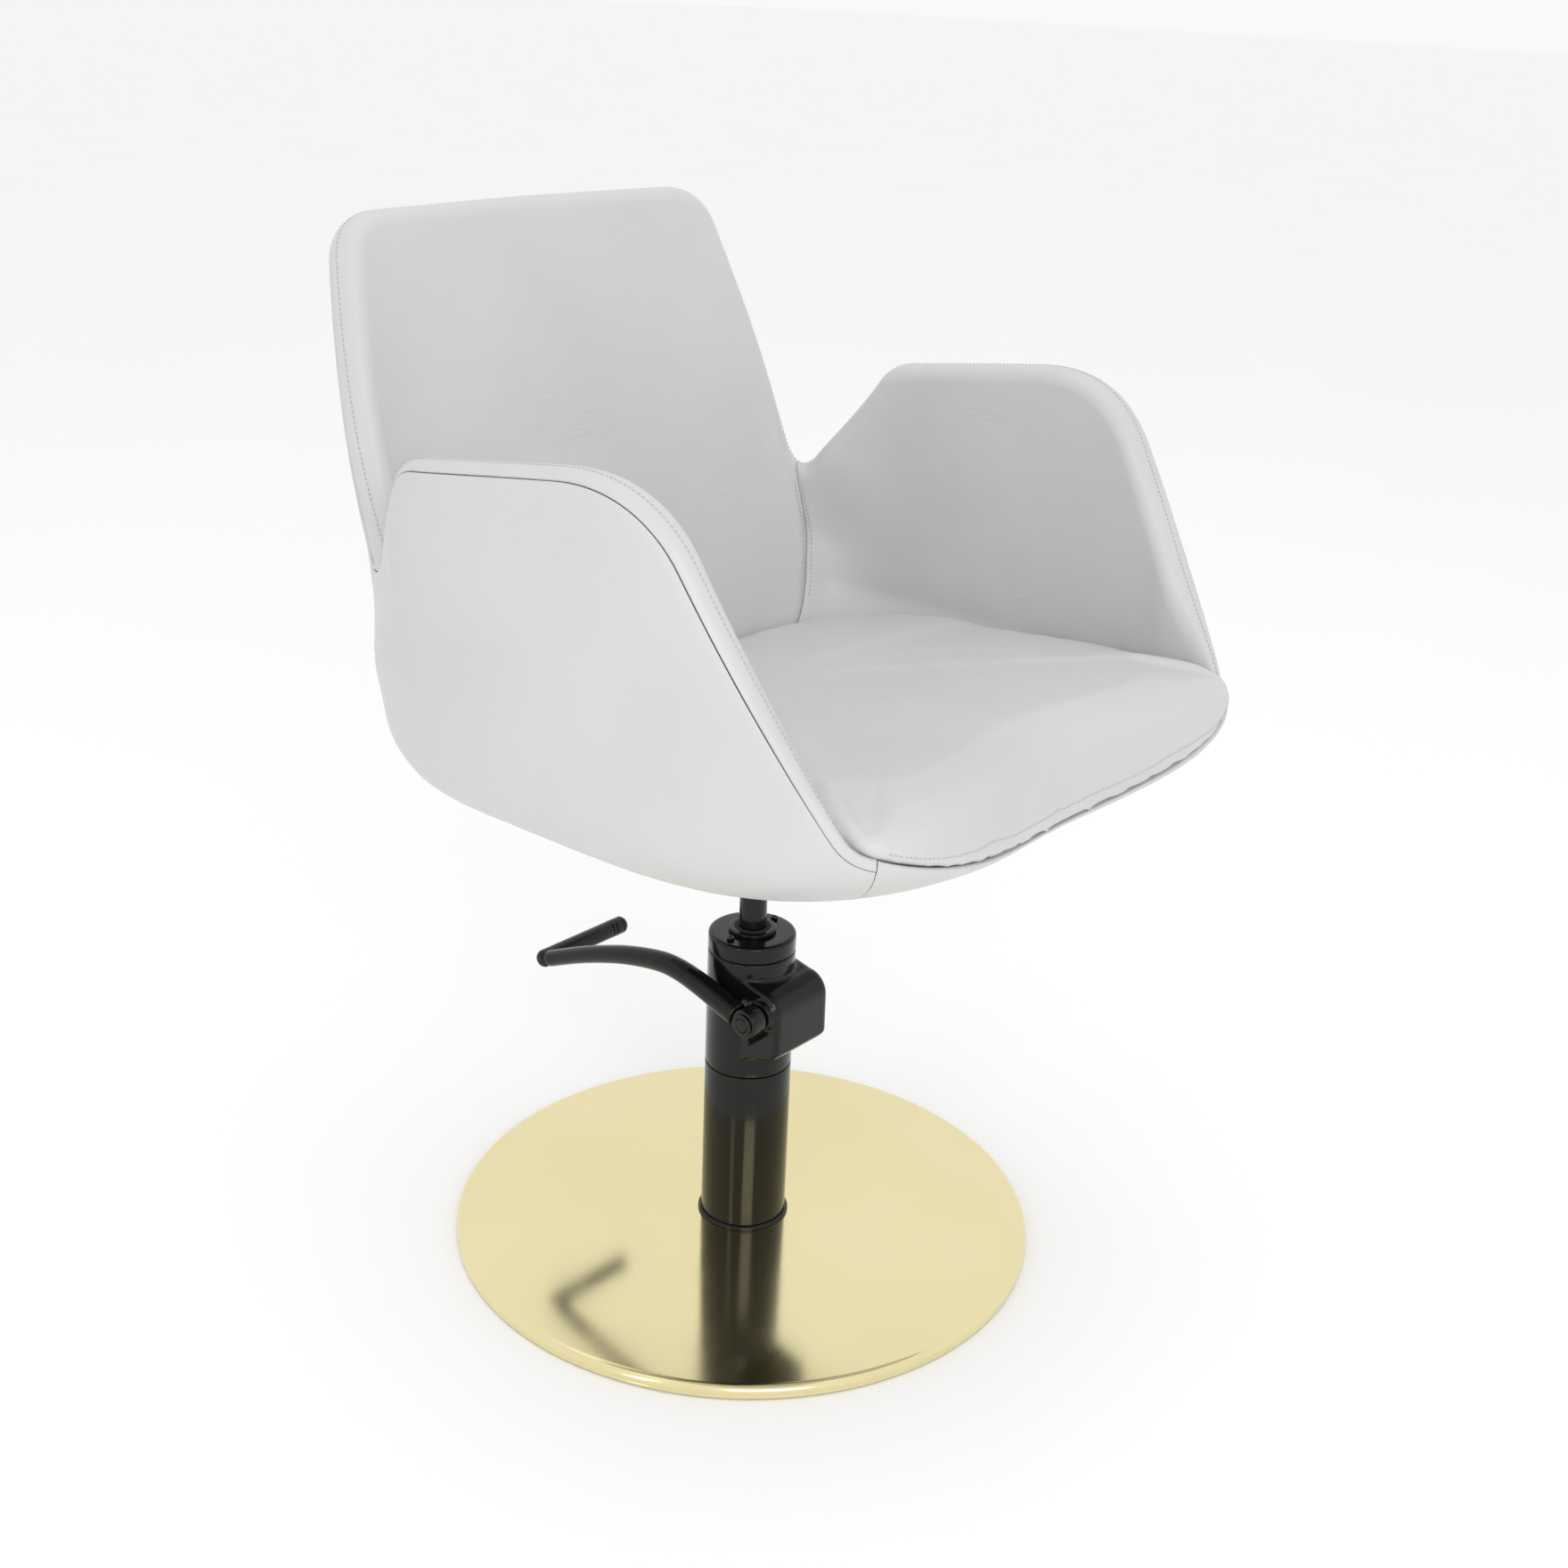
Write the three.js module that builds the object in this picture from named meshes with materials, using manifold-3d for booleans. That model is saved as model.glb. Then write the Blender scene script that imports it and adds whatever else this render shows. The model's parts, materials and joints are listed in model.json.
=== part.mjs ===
// Styling chair: upholstered bucket seat on a hydraulic pump with a foot pedal and a round base.
// Millimetres, +Z up. The sitter faces -Y. The origin is on the swivel axis at floor level.
import * as THREE from "three";
import { mergeVertices } from "three/addons/utils/BufferGeometryUtils.js";
import Module from "manifold-3d";

// ---------------------------------------------------------------- driving dimensions
const GAP = 0.3; // clearance between touching pieces

const BASE_RADIUS = 280;
const BASE_HEIGHT = 13;
const MAT_HEIGHT = 3;
const COVER_SHEET = 3;
const SKIRT_THICKNESS = 3.5;
const PLATE_RADIUS = 272;

const COLUMN_RADIUS = 41.5;
const COLUMN_TOP = 180;
const CYLINDER_TOP = 205;
const HEAD_TOP = 300;
const CAP_TOP = 317;
const ROD_RADIUS = 13;
const ROD_TOP = 479;
const PISTON_BOTTOM = 140;
const PISTON_RADIUS = 30.6;

const PIVOT_Y = -46;
const PIVOT_Z = 258;
const PIVOT_RADIUS = 7;
const HOUSING_LEFT = -36;
const HOUSING_RIGHT = 38;
const HOUSING_FRONT = -64;
const PLUNGER_Y = -30;
const PLUNGER_TOP = 249;
const CHAMBER_FLOOR = 222;

const LEVER_X = -55;
const LEVER_RADIUS = 8.5;
const FOOT_BAR_RADIUS = 9;
const FOOT_BAR_HALF = 52;
const FOOT_BAR_Y = 225;
const FOOT_BAR_Z = 226;

const SOCKET_BOTTOM = 445;
const SOCKET_RADIUS = 26;
const PLATE_HALF = [115, 85];
const SEAT_BOLT_AT = [80, 55];

// The bucket's outer surface: level sections are squared ovals whose reach grows with height.
const SHELL_CENTRE_Y = 30;
const SHELL_BOTTOM = 470;
const SHELL_TOP = 947;
const SIDE = { start: 158, full: 326, lean: 0, knee: 568 };
const REAR = { start: 115, full: 157, lean: 0.276, knee: 520 };
const FRONT = { start: 70, full: 429, lean: -0.2, knee: 590 };
const SQUARENESS = { front: 3.85, rearLow: 3, rearHigh: 5 };
// The walls draw in towards each notch: depth, angle and width of the hollow, and where it starts and is full.
const PINCH = { depth: 20, angle: 24, width: 9, low: 600, high: 700 };
const RIM_RADIUS = 300; // turns an angle round the seat into a length along the rim
// Rim corners from the back's centre round to the seat's front corner: angle, height, corner radius.
const RIM = [
  [90, 947, 0],
  [51.4, 945, 55],
  [30.1, 664, 25],
  [13.4, 793, 45],
  [-30, 828, 90],
  [-52.6, 572, 28],
  [-72.6, 548, 0],
];
const LIP_START = -54.7; // from here to the middle the front rim is a shallow sagging arc
const LIP_HEIGHT = 522;
const NOTCH_ANGLE = 30.1;
const FRONT_ANGLE = LIP_START;
const COVER_DEPTH = [0, 8];
const FRAME_DEPTH = [13, 16];
const PAD_DEPTH = [23, 34];
const DISH_TOP = 473; // where the bottom cover meets the side covers
const PAD_FOOT = 505;
const ROW_POWER = 2; // crowds the rows into the bowl
const COLUMNS = { back: 16, side: 14, front: 8 }; // shared by every layer, so that the facets nest
const SEAM_ANGLE = 0.1; // half the gap between neighbouring covers, in degrees
const SEAT_HEIGHT = 556; // seat surface on the swivel axis
const SEAT_RAKE = 0.123;

// ---------------------------------------------------------------- finishes
function finish(color, roughness, metalness) {
  return new THREE.MeshStandardMaterial({ color, roughness, metalness });
}
const GOLD = finish(0xe7dba8, 0.08, 1);
const BLACK = finish(0x111113, 0.18, 0.4);
const STEEL = finish(0x9a9ca0, 0.35, 1);
const BRONZE = finish(0xa67c42, 0.4, 1);
const RUBBER = finish(0x1c1c1c, 0.9, 0);
const LEATHER = finish(0xe6e7e9, 0.45, 0);
const PLYWOOD = finish(0xb98f5e, 0.7, 0);

// ---------------------------------------------------------------- solids
const wasm = await Module();
wasm.setup();
const chair = new THREE.Group();

function place(name, geometry, material) {
  const mesh = new THREE.Mesh(geometry, material);
  mesh.name = name;
  chair.add(mesh);
  return mesh;
}

// Keeps positions only, with shared corners merged and faces turned outwards.
function tidy(geometry) {
  const bare = geometry.clone();
  bare.deleteAttribute("normal");
  bare.deleteAttribute("uv");
  const merged = mergeVertices(bare, 1e-3);
  const p = merged.attributes.position;
  const index = merged.index.array;
  const [a, b, c] = [new THREE.Vector3(), new THREE.Vector3(), new THREE.Vector3()];
  let volume = 0;
  for (let i = 0; i < index.length; i += 3) {
    a.fromBufferAttribute(p, index[i]);
    b.fromBufferAttribute(p, index[i + 1]);
    c.fromBufferAttribute(p, index[i + 2]);
    volume += a.dot(b.cross(c));
  }
  if (volume < 0) {
    for (let i = 0; i < index.length; i += 3) {
      [index[i + 1], index[i + 2]] = [index[i + 2], index[i + 1]];
    }
  }
  return merged;
}

function solidOf(geometry) {
  const g = tidy(geometry);
  return new wasm.Manifold(
    new wasm.Mesh({
      numProp: 3,
      vertProperties: new Float32Array(g.attributes.position.array),
      triVerts: new Uint32Array(g.index.array),
    }),
  );
}

function geometryOf(solid) {
  const mesh = solid.getMesh();
  const g = new THREE.BufferGeometry();
  g.setAttribute("position", new THREE.BufferAttribute(mesh.vertProperties, 3));
  g.setIndex(new THREE.BufferAttribute(mesh.triVerts, 1));
  return g;
}

// Body with the listed additions joined on and the listed cuts taken out.
function carve(body, additions, cuts) {
  let solid = solidOf(body);
  for (const extra of additions) solid = solid.add(solidOf(extra));
  for (const cut of cuts) solid = solid.subtract(solidOf(cut));
  return geometryOf(solid);
}

// Turned piece about the Z axis from [radius, height] pairs.
function turned(profile, segments = 30) {
  const points = profile.map(([r, z]) => new THREE.Vector2(r, z));
  if (profile[0][0] > 0) points.push(points[0].clone());
  return tidy(new THREE.LatheGeometry(points, segments).rotateX(Math.PI / 2));
}

function disc(radius, z0, z1, segments = 30) {
  return turned([[0, z0], [radius, z0], [radius, z1], [0, z1]], segments);
}

function ring(inner, outer, z0, z1, segments = 30) {
  return turned([[inner, z0], [outer, z0], [outer, z1], [inner, z1]], segments);
}

// The same shapes with their axis along X, starting at x0.
function alongX(geometry, x0, y, z) {
  return geometry.rotateY(Math.PI / 2).translate(x0, y, z);
}

function block(low, high) {
  const size = low.map((v, i) => high[i] - v);
  const g = new THREE.BoxGeometry(...size);
  return g.translate(low[0] + size[0] / 2, low[1] + size[1] / 2, low[2] + size[2] / 2);
}

// Round bar along a curve.
function bar(curve, radius, sides, steps) {
  const section = new THREE.Shape();
  for (let i = 0; i < sides; i++) {
    const t = (2 * Math.PI * i) / sides;
    if (i === 0) section.moveTo(radius, 0);
    else section.lineTo(radius * Math.cos(t), radius * Math.sin(t));
  }
  section.closePath();
  return tidy(new THREE.ExtrudeGeometry(section, { steps, extrudePath: curve, bevelEnabled: false }));
}

// Geometry from a vertex list and a list of quads, each split along its shorter diagonal.
function faceted(vertices, quads) {
  const g = new THREE.BufferGeometry();
  const apart = (a, b) => Math.hypot(...vertices[a].map((v, i) => v - vertices[b][i]));
  g.setAttribute("position", new THREE.Float32BufferAttribute(vertices.flat(), 3));
  g.setIndex(
    quads.flatMap(([a, b, c, d]) =>
      apart(a, c) <= apart(b, d) + 1e-3 ? [a, b, c, a, c, d] : [b, c, d, b, d, a],
    ),
  );
  return tidy(g);
}

// Curved panel with two faces: at(column, row, face) gives a point, face is 0 outside or 1 inside.
function panel(columns, rows, closed, at) {
  const across = closed ? columns : columns + 1;
  const vertices = [];
  const id = (i, j, face) => (face * across + (i % across)) * (rows + 1) + j;
  for (const face of [0, 1]) {
    for (let i = 0; i < across; i++) {
      for (let j = 0; j <= rows; j++) vertices.push(at(i, j, face));
    }
  }
  const quads = [];
  for (let i = 0; i < columns; i++) {
    for (let j = 0; j < rows; j++) {
      quads.push([id(i, j, 0), id(i + 1, j, 0), id(i + 1, j + 1, 0), id(i, j + 1, 0)]);
      quads.push([id(i, j, 1), id(i, j + 1, 1), id(i + 1, j + 1, 1), id(i + 1, j, 1)]);
    }
    quads.push([id(i, 0, 0), id(i, 0, 1), id(i + 1, 0, 1), id(i + 1, 0, 0)]);
    quads.push([id(i, rows, 0), id(i + 1, rows, 0), id(i + 1, rows, 1), id(i, rows, 1)]);
  }
  for (let j = 0; j < rows && !closed; j++) {
    quads.push([id(0, j, 0), id(0, j + 1, 0), id(0, j + 1, 1), id(0, j, 1)]);
    quads.push([id(columns, j, 0), id(columns, j, 1), id(columns, j + 1, 1), id(columns, j + 1, 0)]);
  }
  return faceted(vertices, quads);
}

// Solid skinned over closed rings, ending in one point at each end.
function loft(first, rings, last) {
  const n = rings[0].length;
  const vertices = [first, ...rings.flat(), last];
  const id = (k, i) => 1 + k * n + (i % n);
  const quads = [];
  for (let i = 0; i < n; i++) {
    quads.push([0, id(0, i + 1), id(0, i), 0]);
    quads.push([vertices.length - 1, id(rings.length - 1, i), id(rings.length - 1, i + 1), vertices.length - 1]);
    for (let k = 0; k + 1 < rings.length; k++) {
      quads.push([id(k, i), id(k, i + 1), id(k + 1, i + 1), id(k + 1, i)]);
    }
  }
  return faceted(vertices, quads);
}

// ---------------------------------------------------------------- bucket surface
const radians = THREE.MathUtils.degToRad;

// Reach of the outer surface from its centre line: a quarter-round bowl, then a straight lean.
function reach({ start, full, lean, knee }, z) {
  const q = Math.min(Math.max((z - SHELL_BOTTOM) / (knee - SHELL_BOTTOM), 0), 1);
  return start + (full - start) * Math.sqrt(1 - (1 - q) ** 2) + lean * (z - SHELL_BOTTOM);
}

function surface(angle, z) {
  const c = Math.cos(radians(angle));
  const s = Math.sin(radians(angle));
  const up = Math.min(Math.max((z - SHELL_BOTTOM) / (SHELL_TOP - SHELL_BOTTOM), 0), 1);
  const rear = SQUARENESS.rearLow + (SQUARENESS.rearHigh - SQUARENESS.rearLow) * up;
  const n = s > 0 ? rear : SQUARENESS.front;
  const depth = reach(s > 0 ? REAR : FRONT, z);
  const oval = (Math.abs(c / reach(SIDE, z)) ** n + Math.abs(s / depth) ** n) ** (-1 / n);
  const folded = THREE.MathUtils.radToDeg(Math.asin(s));
  const hollow = Math.exp(-(((folded - PINCH.angle) / PINCH.width) ** 2));
  const r = oval - PINCH.depth * hollow * THREE.MathUtils.smoothstep(z, PINCH.low, PINCH.high);
  return new THREE.Vector3(r * c, SHELL_CENTRE_Y + r * s, z);
}

// Point at a depth below the outer surface, measured square to it.
function layer(angle, z, depth) {
  const step = 0.5;
  const low = Math.max(z, SHELL_BOTTOM);
  const along = surface(angle + step, low).sub(surface(angle - step, low));
  const upward = surface(angle, low + step).sub(surface(angle, Math.max(low - step, SHELL_BOTTOM)));
  const inward = upward.cross(along).normalize();
  return surface(angle, low).addScaledVector(inward, depth);
}

// Point of the layer whose own height is the one asked for.
function layerAtHeight(angle, height, depth) {
  let z = height;
  for (let i = 0; i < 8; i++) z += 0.7 * (height - layer(angle, z, depth).z);
  return layer(angle, z, depth);
}

// The rim as a height for each angle, with its corners rounded.
function roundedRim() {
  const corners = RIM.map(([angle, z]) => new THREE.Vector2(radians(90 - angle) * RIM_RADIUS, z));
  const points = [corners[0]];
  for (let i = 1; i < corners.length - 1; i++) {
    const back = corners[i - 1].clone().sub(corners[i]);
    const ahead = corners[i + 1].clone().sub(corners[i]);
    const half = back.angleTo(ahead) / 2;
    const most = 0.48 * Math.min(back.length(), ahead.length());
    const tangent = Math.min(RIM[i][2] / Math.tan(half), most);
    const start = corners[i].clone().addScaledVector(back.normalize(), tangent);
    const end = corners[i].clone().addScaledVector(ahead.normalize(), tangent);
    for (let k = 0; k <= 8; k++) {
      const t = k / 8;
      const a = start.clone().lerp(corners[i], t);
      points.push(a.lerp(corners[i].clone().lerp(end, t), t));
    }
  }
  points.push(corners[corners.length - 1]);
  return points;
}
const RIM_CURVE = roundedRim();

function rimHeight(angle) {
  const folded = THREE.MathUtils.radToDeg(Math.asin(Math.sin(radians(angle))));
  if (folded < LIP_START - 1e-6) {
    const share = (folded + 90) / (LIP_START + 90);
    return LIP_HEIGHT + (rimHeight(LIP_START) - LIP_HEIGHT) * share ** 2;
  }
  const along = radians(90 - folded) * RIM_RADIUS;
  const next = RIM_CURVE.findIndex((p) => p.x >= along - 1e-6);
  const b = RIM_CURVE[Math.max(next, 1)];
  const a = RIM_CURVE[Math.max(next, 1) - 1];
  return a.y + ((b.y - a.y) * (along - a.x)) / (b.x - a.x);
}

// Panel of the bucket between two angles, from a foot height up to the rim less a margin.
function bucketPanel(from, to, columns, rows, depths, foot, margin) {
  return panel(columns, rows, false, (i, j, face) => {
    const angle = from + ((to - from) * i) / columns;
    const top = rimHeight(angle) - margin;
    const z = foot + (top - foot) * (j / rows) ** ROW_POWER;
    return layer(angle, z, depths[face]).toArray();
  });
}

// Every column's angle once round the bucket, from the right notch by the back.
function loopAngles() {
  const stops = [NOTCH_ANGLE, 180 - NOTCH_ANGLE, 180 - FRONT_ANGLE, 360 + FRONT_ANGLE, 360 + NOTCH_ANGLE];
  const counts = [COLUMNS.back, COLUMNS.side, COLUMNS.front, COLUMNS.side];
  return counts.flatMap((count, k) =>
    Array.from({ length: count }, (_, i) => stops[k] + ((stops[k + 1] - stops[k]) * i) / count),
  );
}
const LOOP = loopAngles();

function mirrored(geometry) {
  return tidy(geometry.clone().scale(-1, 1, 1));
}

// ---------------------------------------------------------------- base and column
place("floor_mat", disc(BASE_RADIUS - 12, 0, MAT_HEIGHT, 48), RUBBER);

const boltPlaces = [45, 135, 225, 315].map((a) => [25 * Math.cos(radians(a)), 25 * Math.sin(radians(a))]);
const plateBottom = MAT_HEIGHT + GAP;
const plateTop = BASE_HEIGHT - COVER_SHEET - 2 * GAP;
const plateCuts = boltPlaces.flatMap(([x, y]) => [
  disc(8, plateBottom - 1, 6.9, 12).translate(x, y, 0),
  disc(5.3, plateBottom - 1, plateTop + 1, 12).translate(x, y, 0),
]);
place("base_plate", carve(disc(PLATE_RADIUS, plateBottom, plateTop, 48), [], plateCuts), STEEL);

const FOOT_RADIUS = 36.5;
const coverHole = FOOT_RADIUS + 0.4;
place(
  "base_cover",
  turned(
    [
      [coverHole, BASE_HEIGHT - COVER_SHEET],
      [BASE_RADIUS - SKIRT_THICKNESS, BASE_HEIGHT - COVER_SHEET],
      [BASE_RADIUS - SKIRT_THICKNESS, 1.2],
      [BASE_RADIUS - 0.8, 1.2],
      [BASE_RADIUS, 2],
      [BASE_RADIUS, BASE_HEIGHT - 1.2],
      [BASE_RADIUS - 1.2, BASE_HEIGHT],
      [coverHole, BASE_HEIGHT],
    ],
    64,
  ),
  GOLD,
);

const footBottom = plateTop + GAP;
const FOOT_TOP = 20;
const footHoles = boltPlaces.map(([x, y]) => disc(5.2, footBottom - 1, FOOT_TOP + 1, 12).translate(x, y, 0));
place("pump_foot", carve(disc(FOOT_RADIUS, footBottom, FOOT_TOP), [], footHoles), STEEL);
boltPlaces.forEach(([x, y], i) => {
  const bolt = turned([[0, 3.6], [7.5, 3.6], [7.5, 6.6], [4.9, 6.6], [4.9, 19], [0, 19]], 12);
  place(`column_bolt_${i + 1}`, bolt.translate(x, y, 0), STEEL);
});

const columnBottom = BASE_HEIGHT + GAP;
place("foot_collar", ring(COLUMN_RADIUS + GAP, COLUMN_RADIUS + 3, columnBottom, 17), BLACK);
place("column_tube", ring(COLUMN_RADIUS - 3.5, COLUMN_RADIUS, columnBottom, COLUMN_TOP), BLACK);
place("pump_cylinder", ring(31, 34, FOOT_TOP + GAP, CYLINDER_TOP), STEEL);

// ---------------------------------------------------------------- pump head
function housingProfile() {
  const s = new THREE.Shape();
  s.moveTo(-15, 200);
  s.lineTo(HOUSING_FRONT + 4, 214);
  s.lineTo(HOUSING_FRONT, 219);
  s.lineTo(HOUSING_FRONT, PIVOT_Z);
  s.absarc(HOUSING_FRONT + 22, PIVOT_Z, 22, Math.PI, Math.PI / 2, true);
  s.lineTo(-15, PIVOT_Z + 30);
  s.closePath();
  return s;
}
const housing = new THREE.ExtrudeGeometry(housingProfile(), {
  depth: HOUSING_RIGHT - HOUSING_LEFT,
  bevelEnabled: false,
  curveSegments: 8,
});
// The profile's own X becomes Y, its Y becomes Z and its depth becomes X.
housing.applyMatrix4(new THREE.Matrix4().set(0, 0, 1, HOUSING_LEFT, 1, 0, 0, 0, 0, 1, 0, 0, 0, 0, 0, 1));

const headBottom = COLUMN_TOP + GAP;
const BUSH_RADIUS = 9.5;
place(
  "pump_body",
  carve(
    disc(COLUMN_RADIUS, headBottom, HEAD_TOP),
    [housing],
    [
      disc(34.4, headBottom - 1, CYLINDER_TOP + GAP),
      disc(17.3, CYLINDER_TOP, HEAD_TOP + 1),
      block([-14, -57, CHAMBER_FLOOR], [14, -20.5, 276]),
      disc(5.3, 207, CHAMBER_FLOOR + 1, 20).translate(0, PLUNGER_Y, 0),
      alongX(disc(BUSH_RADIUS + GAP, 0, 100, 24), -50, PIVOT_Y, PIVOT_Z),
    ],
  ),
  BLACK,
);
place("guide_bush", ring(ROD_RADIUS + 0.2, 17, 256, HEAD_TOP), BRONZE);
place(
  "pump_cap",
  turned([
    [20.3, HEAD_TOP + GAP],
    [COLUMN_RADIUS, HEAD_TOP + GAP],
    [COLUMN_RADIUS, CAP_TOP - 1.5],
    [COLUMN_RADIUS - 1.5, CAP_TOP],
    [20.3, CAP_TOP],
  ]),
  BLACK,
);
place(
  "gland_nut",
  turned([
    [ROD_RADIUS + 0.4, HEAD_TOP + 3],
    [20, HEAD_TOP + 3],
    [20, CAP_TOP + GAP],
    [22.5, CAP_TOP + GAP],
    [22.5, CAP_TOP + 4],
    [17, CAP_TOP + 4],
    [17, CAP_TOP - 6],
    [ROD_RADIUS + 0.4, CAP_TOP - 6],
  ]),
  BLACK,
);
place("wiper_ring", ring(ROD_RADIUS + 0.2, 16.7, CAP_TOP - 5.7, CAP_TOP + 4.4), RUBBER);
[-1, 1].forEach((side, i) => {
  const screw = disc(3.5, CAP_TOP + GAP, CAP_TOP + 3, 16);
  place(`cap_screw_${i + 1}`, screw.translate(side * 31, 0, 0), STEEL);
});

place("pivot_bush_left", alongX(ring(PIVOT_RADIUS + 0.1, BUSH_RADIUS, 0, 21, 24), HOUSING_LEFT, PIVOT_Y, PIVOT_Z), BRONZE);
place("pivot_bush_right", alongX(ring(PIVOT_RADIUS + 0.1, BUSH_RADIUS, 0, 23, 24), 15, PIVOT_Y, PIVOT_Z), BRONZE);
// Stop screw under the pedal's hub, standing out of the housing's side.
place("stop_screw", alongX(disc(5, 0, 14, 16), HOUSING_LEFT - GAP - 14, PIVOT_Y + 8, 232), STEEL);

// ---------------------------------------------------------------- plunger
place(
  "plunger",
  turned([[0, 216], [5, 216], [5, 244.6], [8, 244.6], [8, PLUNGER_TOP], [0, PLUNGER_TOP]], 24).translate(0, PLUNGER_Y, 0),
  STEEL,
);
class Helix extends THREE.Curve {
  getPoint(t) {
    const turn = 2 * Math.PI * 4 * t;
    return new THREE.Vector3(6.7 * Math.cos(turn), PLUNGER_Y + 6.7 * Math.sin(turn), 223.4 + 20 * t);
  }
}
place("plunger_spring", bar(new Helix(), 0.8, 5, 36), STEEL);

// ---------------------------------------------------------------- pedal
place("pivot_shaft", alongX(disc(PIVOT_RADIUS, 0, 109, 24), -66, PIVOT_Y, PIVOT_Z), STEEL);
const rockerRoller = alongX(disc(5, 0, 20, 20), -10, PLUNGER_Y, PLUNGER_TOP + 5.6);
const rockerWeb = block([-10, PIVOT_Y, PIVOT_Z - 8], [10, PLUNGER_Y, PIVOT_Z + 2]);
place(
  "pump_rocker",
  carve(
    alongX(disc(10, 0, 24, 24), -12, PIVOT_Y, PIVOT_Z),
    [rockerWeb, rockerRoller],
    [alongX(disc(PIVOT_RADIUS + GAP, 0, 40, 24), -20, PIVOT_Y, PIVOT_Z)],
  ),
  STEEL,
);
const HUB_RADIUS = 14;
place("pedal_hub", alongX(ring(PIVOT_RADIUS + GAP, HUB_RADIUS, 0, 17, 24), LEVER_X - 8.5, PIVOT_Y, PIVOT_Z), BLACK);
place("circlip_left", alongX(ring(PIVOT_RADIUS + GAP, 10.5, 0, 1.4, 24), LEVER_X - 10.3, PIVOT_Y, PIVOT_Z), STEEL);
place("circlip_right", alongX(ring(PIVOT_RADIUS + GAP, 10.5, 0, 1.4, 24), HOUSING_RIGHT + 1.2, PIVOT_Y, PIVOT_Z), STEEL);

// The arm leaves the hub, arches over the pump's shoulder and drops to the foot bar.
const leverRoute = new THREE.CatmullRomCurve3(
  [
    [PIVOT_Y + HUB_RADIUS + 0.6, 260],
    [-16, 265],
    [12, 274],
    [40, 280],
    [68, 280],
    [114, 270],
    [165, 252],
    [FOOT_BAR_Y - FOOT_BAR_RADIUS - 0.8, 230],
  ].map(([y, z]) => new THREE.Vector3(LEVER_X, y, z)),
);
place("pedal_arm", bar(leverRoute, LEVER_RADIUS, 14, 18), BLACK);
place(
  "foot_bar",
  alongX(disc(FOOT_BAR_RADIUS, 0, 2 * FOOT_BAR_HALF, 24), -FOOT_BAR_HALF, FOOT_BAR_Y, FOOT_BAR_Z),
  BLACK,
);
const capProfile = [[0, 0], [FOOT_BAR_RADIUS, 0], [FOOT_BAR_RADIUS, 2], [7, 5.5], [3.5, 7.2], [0, 7.6]];
const rightCap = alongX(turned(capProfile, 24), FOOT_BAR_HALF + GAP, FOOT_BAR_Y, FOOT_BAR_Z);
place("foot_cap_right", rightCap, BLACK);
place("foot_cap_left", mirrored(rightCap), BLACK);

// ---------------------------------------------------------------- lift rod
place(
  "piston_rod",
  turned([
    [0, PISTON_BOTTOM + 20 + GAP],
    [ROD_RADIUS, PISTON_BOTTOM + 20 + GAP],
    [ROD_RADIUS, SOCKET_BOTTOM + 4],
    [11.5, ROD_TOP],
    [0, ROD_TOP],
  ]),
  STEEL,
);
place(
  "piston_head",
  turned([
    [0, PISTON_BOTTOM],
    [PISTON_RADIUS, PISTON_BOTTOM],
    [PISTON_RADIUS, PISTON_BOTTOM + 7],
    [27, PISTON_BOTTOM + 7],
    [27, PISTON_BOTTOM + 13],
    [PISTON_RADIUS, PISTON_BOTTOM + 13],
    [PISTON_RADIUS, PISTON_BOTTOM + 20],
    [0, PISTON_BOTTOM + 20],
  ]),
  STEEL,
);
place("piston_seal", ring(27.3, PISTON_RADIUS, PISTON_BOTTOM + 7.3, PISTON_BOTTOM + 12.7), RUBBER);

// ---------------------------------------------------------------- seat mount
place(
  "seat_socket",
  turned([
    [ROD_RADIUS + 0.35, SOCKET_BOTTOM],
    [SOCKET_RADIUS, SOCKET_BOTTOM],
    [SOCKET_RADIUS, 488],
    [0, 488],
    [0, ROD_TOP + 0.6],
    [11.9, ROD_TOP + 0.6],
    [ROD_RADIUS + 0.35, SOCKET_BOTTOM + 4.6],
  ]),
  BLACK,
);
const seatBoltPlaces = [
  [1, 1],
  [-1, 1],
  [-1, -1],
  [1, -1],
].map(([sx, sy]) => [sx * SEAT_BOLT_AT[0], sy * SEAT_BOLT_AT[1]]);
const seatBoltHoles = () => seatBoltPlaces.map(([x, y]) => disc(4.6, 455, 520, 10).translate(x, y, 0));
const socketHole = () => disc(SOCKET_RADIUS + 0.5, 440, 489);
const [halfX, halfY] = PLATE_HALF;
place(
  "mounting_plate",
  carve(block([-halfX, -halfY, 463.4], [halfX, halfY, 469.4]), [], [socketHole(), ...seatBoltHoles()]),
  BLACK,
);
seatBoltPlaces.forEach(([x, y], i) => {
  const bolt = turned([[0, 457], [8, 457], [8, 463], [4, 463], [4, 502], [0, 502]], 12);
  place(`seat_bolt_${i + 1}`, bolt.translate(x, y, 0), STEEL);
});
place(
  "seat_board",
  carve(block([-108, -80, 494], [108, 95, 504]), [], seatBoltHoles()),
  PLYWOOD,
);

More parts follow.
